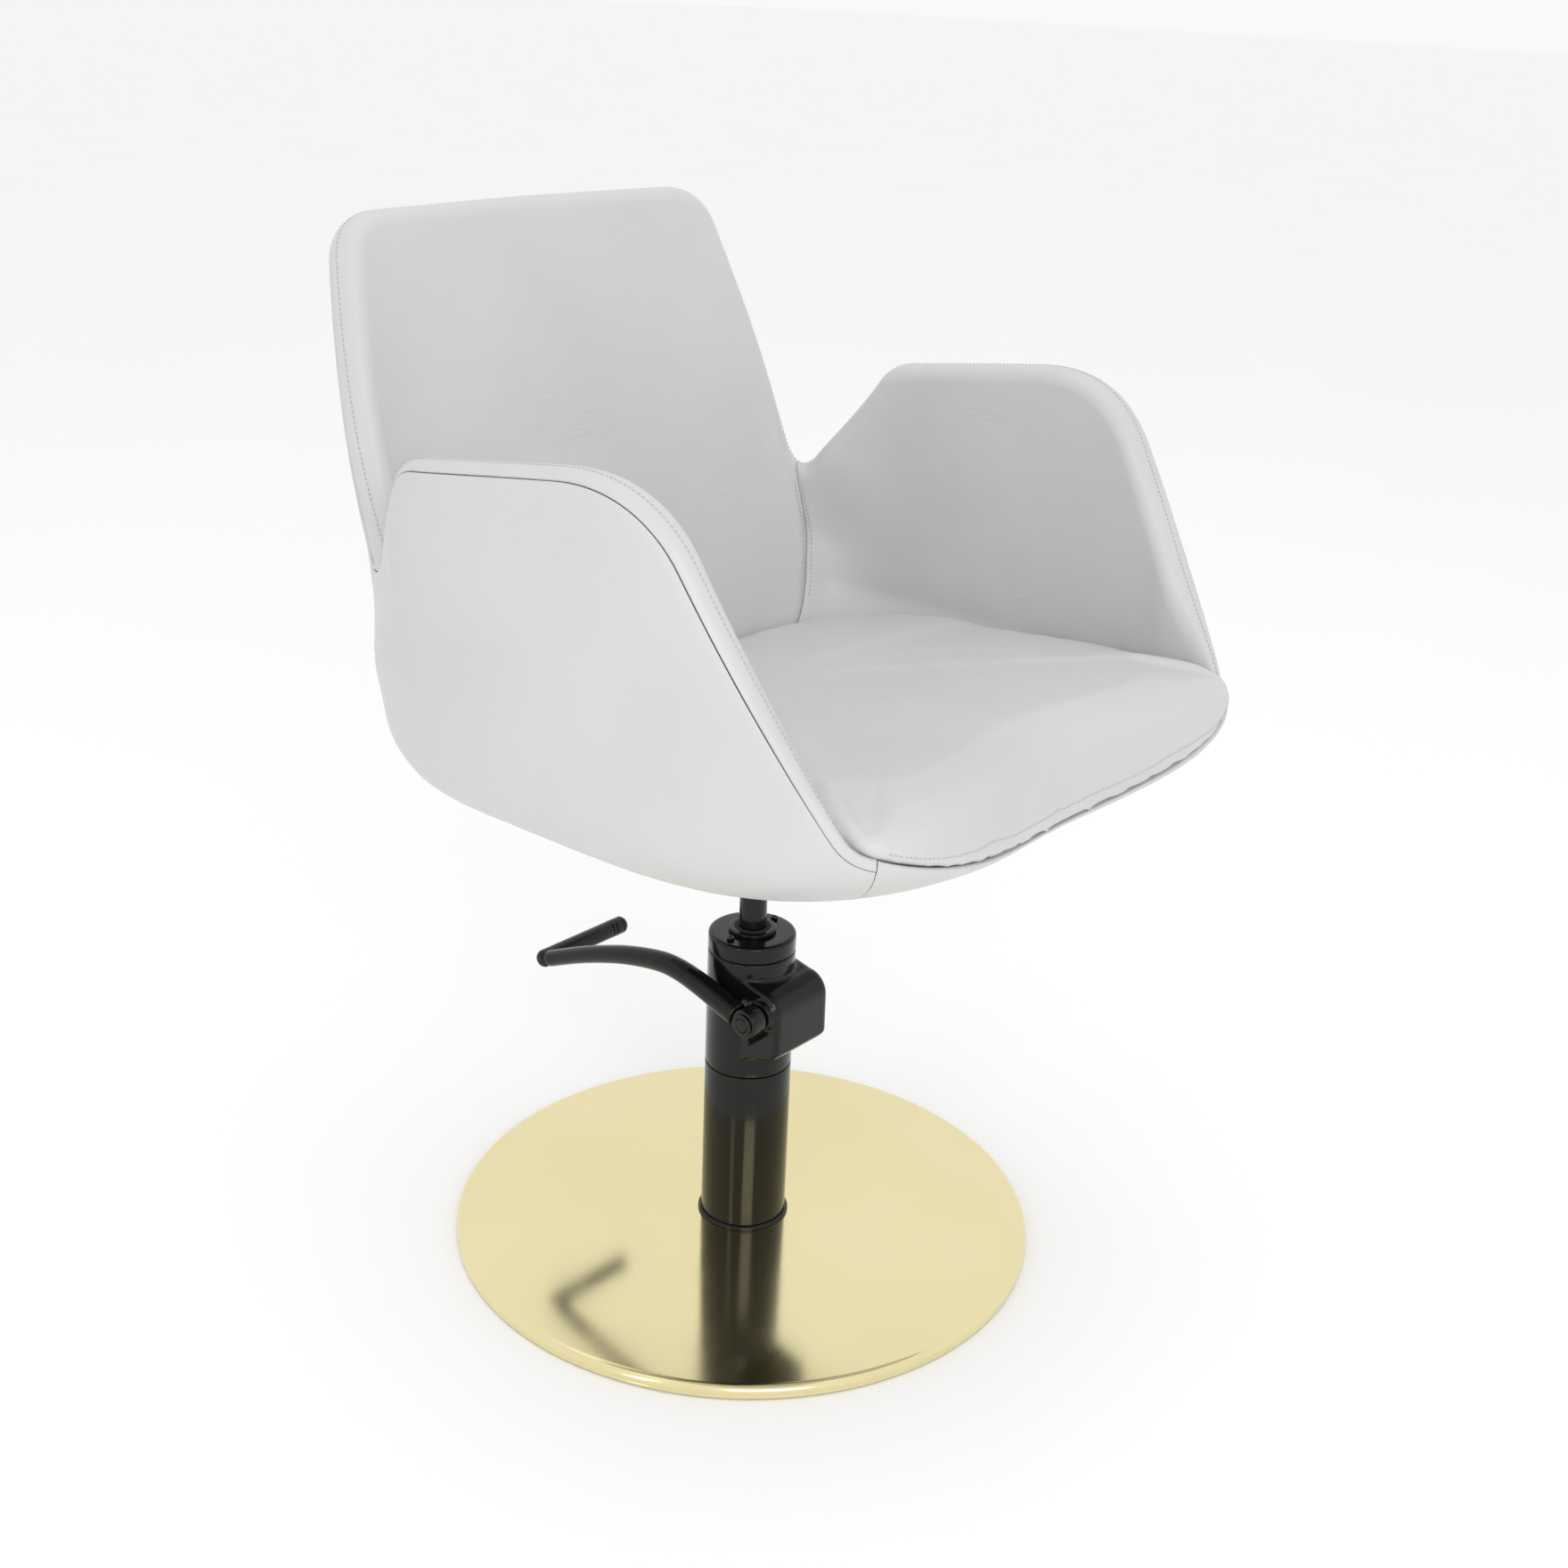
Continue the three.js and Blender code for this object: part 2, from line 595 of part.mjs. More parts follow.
// ---------------------------------------------------------------- bucket covers and frame
// Dished bottom from a round hole out to the covers: rows are the hole, the flat's edge, the dish.
function dish(depths, hole, top) {
  const heights = [SHELL_BOTTOM, SHELL_BOTTOM, top];
  return panel(LOOP.length, 2, true, (i, j, face) => {
    const angle = LOOP[i];
    if (j > 0) return layer(angle, heights[j], depths[face]).toArray();
    const x = hole * Math.cos(radians(angle));
    return [x, hole * Math.sin(radians(angle)), SHELL_BOTTOM + depths[face]];
  });
}
place(
  "bottom_cover",
  carve(dish([0, 8], SOCKET_RADIUS + 1, DISH_TOP - 0.4), [], seatBoltHoles()),
  LEATHER,
);
const backRange = [NOTCH_ANGLE + SEAM_ANGLE, 180 - NOTCH_ANGLE - SEAM_ANGLE];
const sideRange = [FRONT_ANGLE + SEAM_ANGLE, NOTCH_ANGLE - SEAM_ANGLE];
const frontRange = [-180 - FRONT_ANGLE + SEAM_ANGLE, FRONT_ANGLE - SEAM_ANGLE];
place("back_cover", bucketPanel(...backRange, COLUMNS.back, 7, COVER_DEPTH, DISH_TOP, 0), LEATHER);
const rightCover = bucketPanel(...sideRange, COLUMNS.side, 7, COVER_DEPTH, DISH_TOP, 0);
place("side_cover_right", rightCover, LEATHER);
place("side_cover_left", mirrored(rightCover), LEATHER);
place("front_cover", bucketPanel(...frontRange, COLUMNS.front, 5, COVER_DEPTH, DISH_TOP, 0), LEATHER);

// Moulded frame: one bowl under the covers, open at the bottom for the socket.
const FRAME_MARGIN = 22; // how far the frame stays below the rim
const FRAME_ROWS = 6;
const frame = panel(LOOP.length, FRAME_ROWS + 1, true, (i, j, face) => {
  const angle = LOOP[i];
  if (j === 0) {
    const hole = SOCKET_RADIUS + 2;
    const height = SHELL_BOTTOM + FRAME_DEPTH[face];
    return [hole * Math.cos(radians(angle)), hole * Math.sin(radians(angle)), height];
  }
  const top = rimHeight(angle) - FRAME_MARGIN;
  const z = SHELL_BOTTOM + (top - SHELL_BOTTOM) * ((j - 1) / FRAME_ROWS) ** ROW_POWER;
  return layer(angle, z, FRAME_DEPTH[face]).toArray();
});
place("shell_frame", carve(frame, [], seatBoltHoles()), PLYWOOD);

place("back_pad", bucketPanel(...backRange, COLUMNS.back, 6, PAD_DEPTH, PAD_FOOT, 0), LEATHER);
const rightPad = bucketPanel(...sideRange, COLUMNS.side, 6, PAD_DEPTH, PAD_FOOT, 0);
place("arm_pad_right", rightPad, LEATHER);
place("arm_pad_left", mirrored(rightPad), LEATHER);

// ---------------------------------------------------------------- seat cushion
const seatTop = (y) => SEAT_HEIGHT - SEAT_RAKE * y;

// Section of the cushion's edge at one angle: against the pads, or rolled over the front rim.
function edgeBesidePads(angle) {
  const probe = layer(angle, SEAT_HEIGHT, 36);
  const height = Math.min(seatTop(probe.y), rimHeight(angle) + 20);
  const foot = surface(angle, SHELL_BOTTOM);
  return [
    new THREE.Vector3(foot.x * 0.97, foot.y * 0.97, SHELL_BOTTOM + 42),
    layerAtHeight(angle, 526, 41),
    layerAtHeight(angle, height - 22, 40),
    layerAtHeight(angle, height - 12, 40),
    layerAtHeight(angle, height - 4, 41),
    layerAtHeight(angle, height + 1, 46),
    layerAtHeight(angle, height + 4, 60),
  ];
}
function edgeAtFront(angle) {
  const rim = rimHeight(angle);
  const seam = layer(angle, rim + 4.5, 1);
  const rise = seatTop(seam.y) - seam.z;
  const out = new THREE.Vector3(Math.cos(radians(angle)), Math.sin(radians(angle)), 0);
  const rolled = (r, share) => seam.clone().addScaledVector(out, r).setZ(seam.z + share * rise);
  const foot = surface(angle, SHELL_BOTTOM);
  return [
    new THREE.Vector3(foot.x * 0.97, foot.y * 0.97, SHELL_BOTTOM + 42),
    layer(angle, rim - 22, 23),
    layer(angle, rim + 4.5, 23),
    seam,
    rolled(5, 0.38),
    rolled(2, 0.75),
    rolled(-22, 1),
  ];
}
const sections = LOOP.map((angle) => {
  const past = Math.min(angle - (180 - FRONT_ANGLE), 360 + FRONT_ANGLE - angle);
  const share = THREE.MathUtils.smoothstep(past, 0.5, 8);
  const beside = edgeBesidePads(angle);
  return share > 0 ? edgeAtFront(angle).map((p, k) => beside[k].lerp(p, share)) : beside;
});
const rings = sections[0].map((_, k) => sections.map((section) => section[k].toArray()));
for (const share of [0.7, 0.35]) {
  rings.push(
    sections.map((section) => {
      const edge = section[section.length - 1];
      const crown = edge.z + (seatTop(0) - edge.z) * (1 - share) + 9 * (1 - share * share);
      return [edge.x * share, edge.y * share, crown];
    }),
  );
}
place("seat_cushion", loft([0, 0, SHELL_BOTTOM + 42], rings, [0, 0, SEAT_HEIGHT + 10]), LEATHER);

export default chair;
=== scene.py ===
"""Styling chair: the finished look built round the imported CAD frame. Metres, +Z up, the sitter faces -Y."""
import json
import math

import bmesh
import bpy
import numpy as np
from mathutils import Matrix, Vector, noise
from mathutils.bvhtree import BVHTree


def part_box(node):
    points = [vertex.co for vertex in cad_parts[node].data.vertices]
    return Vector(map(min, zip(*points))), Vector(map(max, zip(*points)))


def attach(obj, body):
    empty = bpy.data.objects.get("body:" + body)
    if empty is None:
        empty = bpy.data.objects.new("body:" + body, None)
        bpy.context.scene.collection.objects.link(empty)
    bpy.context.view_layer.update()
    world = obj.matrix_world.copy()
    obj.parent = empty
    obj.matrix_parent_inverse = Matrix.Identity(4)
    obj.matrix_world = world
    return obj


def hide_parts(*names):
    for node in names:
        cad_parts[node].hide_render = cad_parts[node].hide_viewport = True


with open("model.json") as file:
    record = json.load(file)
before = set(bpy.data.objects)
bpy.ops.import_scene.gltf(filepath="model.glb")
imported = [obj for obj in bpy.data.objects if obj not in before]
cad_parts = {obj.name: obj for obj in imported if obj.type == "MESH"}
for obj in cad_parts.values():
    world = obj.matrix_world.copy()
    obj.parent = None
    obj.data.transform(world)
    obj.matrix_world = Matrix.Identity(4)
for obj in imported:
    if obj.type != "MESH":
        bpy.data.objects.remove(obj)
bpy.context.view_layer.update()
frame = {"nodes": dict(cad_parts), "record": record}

MM = 0.001


def low_corner(node):
    return Vector(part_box(node)[0])


def high_corner(node):
    return Vector(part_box(node)[1])


def middle(node):
    return [(low + high) / 2 for low, high in zip(low_corner(node), high_corner(node))]


def span(node, axis):
    """Lowest and highest place of a node along x, y or z."""
    return getattr(low_corner(node), axis), getattr(high_corner(node), axis)


def link(made):
    bpy.context.scene.collection.objects.link(made)


def eased(share):
    """Smooth step from 0 to 1."""
    return share * share * (3 - 2 * share)


def distances(points):
    """Distance along the line from its first point to each point."""
    return np.concatenate([[0], np.cumsum(np.linalg.norm(np.diff(points, axis=0), axis=1))])


def at_distance(places, travelled, points):
    """The line's points at these distances from its start."""
    return np.stack([np.interp(places, travelled, points[:, k]) for k in range(3)], -1)


def end_caps(count, size):
    """The two faces that close a skin of count rings of size points."""
    return [tuple(range(size - 1, -1, -1)), tuple((count - 1) * size + i for i in range(size))]


# ---------------------------------------------------------------- camera, light and floor
CAMERA_PLACE = Vector((-1.32024, -1.11342, 1.16141))
CAMERA_FORWARD = Vector((0.71714, 0.58802, -0.37409)).normalized()
CAMERA_ROLL = math.radians(2.334)
LENS_MM = 47.05
# Place, target, size and power of each light.
LIGHTS = {
    "key": ((-1.9, -2.4, 1.9), (0, 0, 0.65), (1.5, 1.5), 26),
    "strip": ((-2.6, -0.3, 1.2), (0, 0, 0.4), (0.35, 2.2), 4),
    "top": ((0.4, 0.4, 3.4), (0, 0, 0.3), (2.4, 2.4), 10),
}
WORLD_STRENGTH = 0.95
FLOOR_HALF = 40.0
FLOOR_DROP = 0.4 * MM  # keeps the floor clear of the base's underside


def make_camera():
    data = bpy.data.cameras.new("camera")
    data.lens = LENS_MM
    data.sensor_width = 36
    data.clip_end = 50
    camera = bpy.data.objects.new("camera", data)
    link(camera)
    level_right = CAMERA_FORWARD.cross(Vector((0, 0, 1))).normalized()
    level_up = level_right.cross(CAMERA_FORWARD)
    right = level_right * math.cos(CAMERA_ROLL) + level_up * math.sin(CAMERA_ROLL)
    up = level_up * math.cos(CAMERA_ROLL) - level_right * math.sin(CAMERA_ROLL)
    axes = Matrix((right, up, -CAMERA_FORWARD)).transposed().to_4x4()
    camera.matrix_world = Matrix.Translation(CAMERA_PLACE) @ axes
    bpy.context.scene.camera = camera


def area_light(name, place, target, size, power):
    data = bpy.data.lights.new(name, "AREA")
    data.shape = "RECTANGLE"
    data.size, data.size_y = size
    data.energy = power
    light = bpy.data.objects.new(name, data)
    link(light)
    light.location = place
    light.rotation_euler = (Vector(target) - Vector(place)).to_track_quat("-Z", "Y").to_euler()


def make_studio():
    world = bpy.data.worlds.new("studio")
    world.use_nodes = True
    background = world.node_tree.nodes["Background"]
    background.inputs["Color"].default_value = (1.0, 1.0, 1.0, 1)
    background.inputs["Strength"].default_value = WORLD_STRENGTH
    bpy.context.scene.world = world
    bpy.context.scene.view_settings.view_transform = "Standard"
    for name, settings in LIGHTS.items():
        area_light(name, *settings)
    mesh = bpy.data.meshes.new("floor")
    corners = [(x * FLOOR_HALF, y * FLOOR_HALF, 0) for x, y in ((-1, -1), (1, -1), (1, 1), (-1, 1))]
    mesh.from_pydata(corners, [], [(0, 1, 2, 3)])
    floor = bpy.data.objects.new("floor", mesh)
    floor.location.z = -FLOOR_DROP
    link(floor)
    floor.data.materials.append(floor_finish())


# ---------------------------------------------------------------- finishes
class Finish:
    """A Principled material, with small helpers to wire procedural detail into it."""

    def __init__(self, name, **values):
        self.material = bpy.data.materials.new(name)
        self.material.use_nodes = True
        self.tree = self.material.node_tree
        self.shader = self.tree.nodes["Principled BSDF"]
        for socket, value in values.items():
            self.shader.inputs[socket.replace("_", " ")].default_value = value
        self.place = self.tree.nodes.new("ShaderNodeTexCoord").outputs["Object"]

    def node(self, kind, **inputs):
        made = self.tree.nodes.new(kind)
        for socket, value in inputs.items():
            self.feed(value, made.inputs[socket.replace("_", " ")])
        return made

    def feed(self, value, socket):
        if isinstance(value, bpy.types.NodeSocket):
            self.tree.links.new(value, socket)
        else:
            socket.default_value = value

    def stretched(self, scale):
        mapping = self.tree.nodes.new("ShaderNodeMapping")
        mapping.inputs["Scale"].default_value = scale
        self.tree.links.new(self.place, mapping.inputs["Vector"])
        return mapping.outputs["Vector"]

    def noise(self, scale, detail=3.0, roughness=0.5, vector=None):
        made = self.node("ShaderNodeTexNoise", Scale=scale, Detail=detail, Roughness=roughness)
        self.tree.links.new(vector or self.place, made.inputs["Vector"])
        return made.outputs["Fac"]

    def cells(self, scale):
        made = self.node("ShaderNodeTexVoronoi", Scale=scale)
        self.tree.links.new(self.place, made.inputs["Vector"])
        return made.outputs["Distance"]

    def spread(self, value, start, end, low, high):
        made = self.node("ShaderNodeMapRange")
        self.tree.links.new(value, made.inputs["Value"])
        for socket, number in zip(("From Min", "From Max", "To Min", "To Max"), (start, end, low, high)):
            made.inputs[socket].default_value = number
        return made.outputs["Result"]

    def maths(self, operation, a, b):
        made = self.tree.nodes.new("ShaderNodeMath")
        made.operation = operation
        self.feed(a, made.inputs[0])
        self.feed(b, made.inputs[1])
        return made.outputs["Value"]

    def colours(self, value, dark, light):
        ramp = self.tree.nodes.new("ShaderNodeValToRGB")
        ramp.color_ramp.elements[0].color = (*dark, 1)
        ramp.color_ramp.elements[1].color = (*light, 1)
        self.tree.links.new(value, ramp.inputs["Fac"])
        self.tree.links.new(ramp.outputs["Color"], self.shader.inputs["Base Color"])

    def roughness(self, value):
        self.tree.links.new(value, self.shader.inputs["Roughness"])

    def varied_roughness(self, value, low, high):
        self.roughness(self.spread(value, 0.3, 0.7, low, high))

    def bump(self, *layers):
        """Each layer is (height, depth in metres, strength)."""
        normal = None
        for height, depth, strength in layers:
            made = self.node("ShaderNodeBump", Distance=depth, Strength=strength)
            self.tree.links.new(height, made.inputs["Height"])
            if normal is not None:
                self.tree.links.new(normal, made.inputs["Normal"])
            normal = made.outputs["Normal"]
        self.tree.links.new(normal, self.shader.inputs["Normal"])


def leather_finish():
    """White leatherette: fine pebble grain, faint stretch creases and a soft satin coat."""
    sheen = dict(Sheen_Weight=0.12, Sheen_Roughness=0.4)
    f = Finish("white_leatherette", **sheen, Coat_Weight=0.06, Coat_Roughness=0.35)
    broad = f.noise(5.0, 2.0)
    f.colours(f.spread(broad, 0.3, 0.7, 0.0, 1.0), (0.535, 0.537, 0.542), (0.575, 0.577, 0.582))
    f.varied_roughness(f.noise(60.0, 4.0), 0.36, 0.5)
    pebbles = f.cells(900.0)
    creases = f.noise(34.0, 6.0, 0.62, f.stretched((0.55, 0.55, 2.3)))
    sharp = f.spread(creases, 0.58, 0.66, 0.0, 1.0)
    marks = f.maths("MULTIPLY", sharp, f.spread(f.noise(7.0), 0.5, 0.62, 0.0, 1.0))
    f.bump((marks, 0.0006, 0.35), (f.noise(260.0, 3.0), 0.0002, 0.25), (pebbles, 0.00012, 0.3))
    return f.material


def thread_finish():
    f = Finish("white_thread", Sheen_Weight=0.3)
    f.colours(f.noise(900.0, 2.0), (0.36, 0.36, 0.37), (0.50, 0.50, 0.51))
    f.varied_roughness(f.noise(300.0), 0.5, 0.75)
    f.bump((f.cells(2600.0), 0.0001, 0.6))
    return f.material


def gold_finish():
    """Mirror-polished pale gold plate with faint haze, hairline scuffs and a slow ripple."""
    f = Finish("gold_plate", Metallic=1.0)
    haze = f.noise(3.0, 3.0)
    f.colours(f.spread(haze, 0.3, 0.7, 0.0, 1.0), (0.83, 0.735, 0.415), (0.87, 0.785, 0.47))
    scuffs = f.noise(40.0, 8.0, 0.7, f.stretched((1.0, 9.0, 1.0)))
    base = f.spread(f.noise(9.0, 5.0), 0.35, 0.7, 0.10, 0.17)
    f.roughness(f.maths("ADD", base, f.spread(scuffs, 0.62, 0.72, 0.0, 0.06)))
    f.bump((f.noise(16.0, 2.0), 0.0004, 0.012), (scuffs, 0.0001, 0.012))
    return f.material


def enamel_finish():
    """Gloss black enamel over a casting: orange peel, faint dust and softly varying gloss."""
    f = Finish("black_enamel", Coat_Weight=0.15, Coat_Roughness=0.05, Specular_IOR_Level=0.22)
    f.colours(f.noise(14.0, 4.0), (0.004, 0.0037, 0.0033), (0.008, 0.0075, 0.007))
    f.varied_roughness(f.noise(70.0, 5.0), 0.10, 0.2)
    f.bump((f.noise(420.0, 2.0), 0.00012, 0.1), (f.noise(45.0, 2.0), 0.0004, 0.05))
    return f.material


def metal_finish(name, dark, light, rough, grain):
    """Machined metal with turning marks along its height."""
    f = Finish(name, Metallic=1.0)
    marks = f.noise(grain, 6.0, 0.6, f.stretched((1.0, 1.0, 14.0)))
    f.colours(marks, dark, light)
    f.varied_roughness(marks, rough, rough + 0.15)
    f.bump((marks, 0.0002, 0.15))
    return f.material


def rubber_finish():
    f = Finish("black_rubber")
    f.colours(f.noise(30.0, 4.0), (0.018, 0.018, 0.018), (0.035, 0.035, 0.034))
    f.varied_roughness(f.noise(80.0, 4.0), 0.7, 0.95)
    f.bump((f.noise(700.0, 3.0), 0.0002, 0.4))
    return f.material


def plywood_finish():
    f = Finish("plywood")
    plies = f.noise(22.0, 7.0, 0.6, f.stretched((1.0, 6.0, 12.0)))
    f.colours(plies, (0.33, 0.22, 0.12), (0.58, 0.44, 0.28))
    f.varied_roughness(plies, 0.55, 0.75)
    f.bump((plies, 0.0004, 0.3))
    return f.material


def floor_finish():
    f = Finish("pale_floor")
    f.colours(f.noise(2.0, 3.0), (0.95, 0.95, 0.95), (0.97, 0.97, 0.97))
    f.varied_roughness(f.noise(20.0), 0.7, 0.8)
    return f.material


make_camera()
make_studio()
FINISHES = {
    "white_leather": leather_finish(),
    "gold_plate": gold_finish(),
    "black_enamel": enamel_finish(),
    "plain_steel": metal_finish("plain_steel", (0.42, 0.43, 0.45), (0.62, 0.63, 0.65), 0.28, 90.0),
    "bushing_bronze": metal_finish("bushing_bronze", (0.40, 0.24, 0.10), (0.60, 0.40, 0.20), 0.35, 120.0),
    "black_rubber": rubber_finish(),
    "plywood": plywood_finish(),
}
THREAD = thread_finish()
SLOT_OF = {part["node"]: part["material_slot"] for part in frame["record"]["subparts"]}
for node_name, node_object in frame["nodes"].items():
    node_object.data.materials.clear()
    node_object.data.materials.append(FINISHES[SLOT_OF[node_name]])


# ---------------------------------------------------------------- making and declaring pieces
def shade_smooth(mesh):
    mesh.polygons.foreach_set("use_smooth", [True] * len(mesh.polygons))


def mesh_piece(name, vertices, faces, body, nodes, smooth_angle=math.radians(40)):
    """A new mesh that rides on a body and stands for these CAD nodes, in their finish."""
    mesh = bpy.data.meshes.new(name)
    mesh.from_pydata([tuple(v) for v in vertices], [], [tuple(f) for f in faces])
    mesh.validate()
    bm = bmesh.new()
    bm.from_mesh(mesh)
    bmesh.ops.remove_doubles(bm, verts=bm.verts, dist=1e-6)
    bmesh.ops.recalc_face_normals(bm, faces=bm.faces)
    bm.to_mesh(mesh)
    bm.free()
    shade_smooth(mesh)
    mesh.set_sharp_from_angle(angle=smooth_angle)
    piece = bpy.data.objects.new(name, mesh)
    link(piece)
    declare(piece, body, nodes)
    return piece


def declare(piece, body, nodes):
    slot = SLOT_OF[nodes[0]] if nodes else "white_leather"
    if not piece.data.materials:
        piece.data.materials.append(FINISHES[slot])
    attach(piece, body)
    if nodes:
        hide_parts(*nodes)


def rings_faces(count, size, closed_rings=True, closed_loop=False):
    """Quads that skin count rings of size points."""
    faces = []
    for k in range(count if closed_loop else count - 1):
        a, b = k * size, ((k + 1) % count) * size
        for i in range(size if closed_rings else size - 1):
            j = (i + 1) % size
            faces.append((a + i, a + j, b + j, b + i))
    return faces


def rounded_profile(corners, steps=4):
    """Corners are (radius, height, fillet in millimetres); the fillets become short arcs."""
    points = []
    for i, (r, z, fillet) in enumerate(corners):
        here = Vector((r, z))
        if fillet == 0:
            points.append(here)
            continue
        back = Vector(corners[i - 1][:2]) - here
        ahead = Vector(corners[(i + 1) % len(corners)][:2]) - here
        start = here + back.normalized() * min(fillet * MM, 0.49 * back.length)
        end = here + ahead.normalized() * min(fillet * MM, 0.49 * ahead.length)
        for k in range(steps + 1):
            t = k / steps
            points.append(start.lerp(here, t).lerp(here.lerp(end, t), t))
    return points


def turned(name, corners, body, nodes, axis_point=(0, 0, 0), along="z", segments=96):
    """Turned piece from (radius, height, fillet) corners about an axis through axis_point."""
    profile = rounded_profile(corners)
    vertices = []
    for k in range(segments):
        angle = 2 * math.pi * k / segments
        for p in profile:
            x, y, z = p[0] * math.cos(angle), p[0] * math.sin(angle), p[1]
            if along == "x":
                x, y, z = z, x, y
            vertices.append((x + axis_point[0], y + axis_point[1], z + axis_point[2]))
    faces = rings_faces(segments, len(profile), closed_rings=True, closed_loop=True)
    return mesh_piece(name, vertices, faces, body, nodes, math.radians(32))


# ---------------------------------------------------------------- bucket surface
SHELL_CENTRE_Y = 30 * MM
SHELL_BOTTOM = 470 * MM
SHELL_TOP = 947 * MM
SIDE = dict(start=158 * MM, full=326 * MM, lean=0.0, knee=568 * MM)
REAR = dict(start=115 * MM, full=157 * MM, lean=0.276, knee=520 * MM)
FRONT = dict(start=70 * MM, full=429 * MM, lean=-0.2, knee=590 * MM)
SQUARE_FRONT, SQUARE_REAR_LOW, SQUARE_REAR_HIGH = 3.85, 3.0, 5.0
# The walls draw in towards each notch: depth, angle and width of the hollow, and where it starts and is full.
PINCH = dict(depth=20 * MM, angle=24, width=9, low=600 * MM, high=700 * MM)
RIM_RADIUS = 300 * MM
# Rim corners from the back's centre round to the seat's front corner: angle, height, corner radius.
RIM = [
    (90, 947, 0), (51.4, 945, 55), (30.1, 664, 25), (13.4, 793, 45),
    (-30, 828, 90), (-52.6, 572, 28), (-72.6, 548, 0),
]
LIP_START = -54.7
LIP_HEIGHT = 522 * MM
NOTCH_ANGLE = 30.1
WALL = 34 * MM
COVER_FOOT = 473 * MM
LINING_FOOT = 508 * MM
SEAT_HEIGHT = 556 * MM
SEAT_RAKE = 0.123


def reach(shape, z):
    q = np.clip((z - SHELL_BOTTOM) / (shape["knee"] - SHELL_BOTTOM), 0, 1)
    bowl = (shape["full"] - shape["start"]) * np.sqrt(1 - (1 - q) ** 2)
    return shape["start"] + bowl + shape["lean"] * (z - SHELL_BOTTOM)


def surface(angle, z):
    """Points of the bucket's outer surface; angle in degrees, z as a height."""
    angle, z = np.broadcast_arrays(np.asarray(angle, float), np.asarray(z, float))
    c, s = np.cos(np.radians(angle)), np.sin(np.radians(angle))
    up = np.clip((z - SHELL_BOTTOM) / (SHELL_TOP - SHELL_BOTTOM), 0, 1)
    rear = SQUARE_REAR_LOW + (SQUARE_REAR_HIGH - SQUARE_REAR_LOW) * up
    n = np.where(s > 0, rear, SQUARE_FRONT)
    depth = np.where(s > 0, reach(REAR, z), reach(FRONT, z))
    oval = (np.abs(c / reach(SIDE, z)) ** n + np.abs(s / depth) ** n) ** (-1 / n)
    hollow = np.exp(-((np.degrees(np.arcsin(s)) - PINCH["angle"]) / PINCH["width"]) ** 2)
    full = np.clip((z - PINCH["low"]) / (PINCH["high"] - PINCH["low"]), 0, 1)
    r = oval - PINCH["depth"] * hollow * eased(full)
    return np.stack([r * c, SHELL_CENTRE_Y + r * s, z], -1)


def folded(angle):
    """The angle moved to the right-hand half, from -90 to 90 degrees."""
    return np.degrees(np.arcsin(np.sin(np.radians(np.asarray(angle, float)))))


def surface_frame(angle, z):
    """Tangents along the angle and the height, and the inward normal."""
    step_a, step_z = 0.25, 0.5 * MM
    low = np.maximum(z, SHELL_BOTTOM)
    along = (surface(angle + step_a, low) - surface(angle - step_a, low)) / (2 * step_a)
    below = np.maximum(low - step_z, SHELL_BOTTOM)
    upward = (surface(angle, low + step_z) - surface(angle, below)) / (low + step_z - below)[..., None]
    inward = np.cross(upward, along)
    inward /= np.linalg.norm(inward, axis=-1, keepdims=True)
    return along, upward, inward


def layer(angle, z, depth):
    angle, z, depth = np.broadcast_arrays(*[np.asarray(value, float) for value in (angle, z, depth)])
    low = np.maximum(z, SHELL_BOTTOM)
    inward = surface_frame(angle, low)[2]
    return surface(angle, low) + depth[..., None] * inward


def layer_at_height(angle, height, depth):
    z = np.asarray(height, float) + 0 * np.asarray(angle, float)
    for _ in range(8):
        z = z + 0.7 * (height - layer(angle, z, depth)[..., 2])
    return layer(angle, z, depth)


def rounded_rim():
    corners = [Vector((math.radians(90 - a) * RIM_RADIUS, z * MM)) for a, z, _ in RIM]
    points = [corners[0]]
    for i in range(1, len(corners) - 1):
        back, ahead = corners[i - 1] - corners[i], corners[i + 1] - corners[i]
        half = back.angle(ahead) / 2
        tangent = min(RIM[i][2] * MM / math.tan(half), 0.48 * min(back.length, ahead.length))
        start = corners[i] + back.normalized() * tangent
        end = corners[i] + ahead.normalized() * tangent
        for k in range(25):
            t = k / 24
            points.append(start.lerp(corners[i], t).lerp(corners[i].lerp(end, t), t))
    points.append(corners[-1])
    return np.array([tuple(p) for p in points])


RIM_CURVE = rounded_rim()


def rim_height(angle):
    """Rim height at these angles, with the shallow sagging lip across the front."""
    right = folded(angle)
    along = np.radians(90 - np.maximum(right, LIP_START)) * RIM_RADIUS
    side = np.interp(along, RIM_CURVE[:, 0], RIM_CURVE[:, 1])
    share = np.clip((right + 90) / (LIP_START + 90), 0, 1)
    return np.where(right < LIP_START, LIP_HEIGHT + (side - LIP_HEIGHT) * share ** 2, side)


def rim_points(start, end, spacing):
    """Angles and heights along the rim from one angle to another, evenly spaced in space."""
    angles = np.linspace(start, end, 4001)
    heights = rim_height(angles)
    travelled = distances(surface(angles, heights))
    count = max(int(round(travelled[-1] / spacing)), 8)
    even = np.interp(np.linspace(0, travelled[-1], count + 1), travelled, angles)
    return even, rim_height(even)


END_BLEND = 34 * MM  # near a wall's ends its columns turn upright, to meet the neighbour


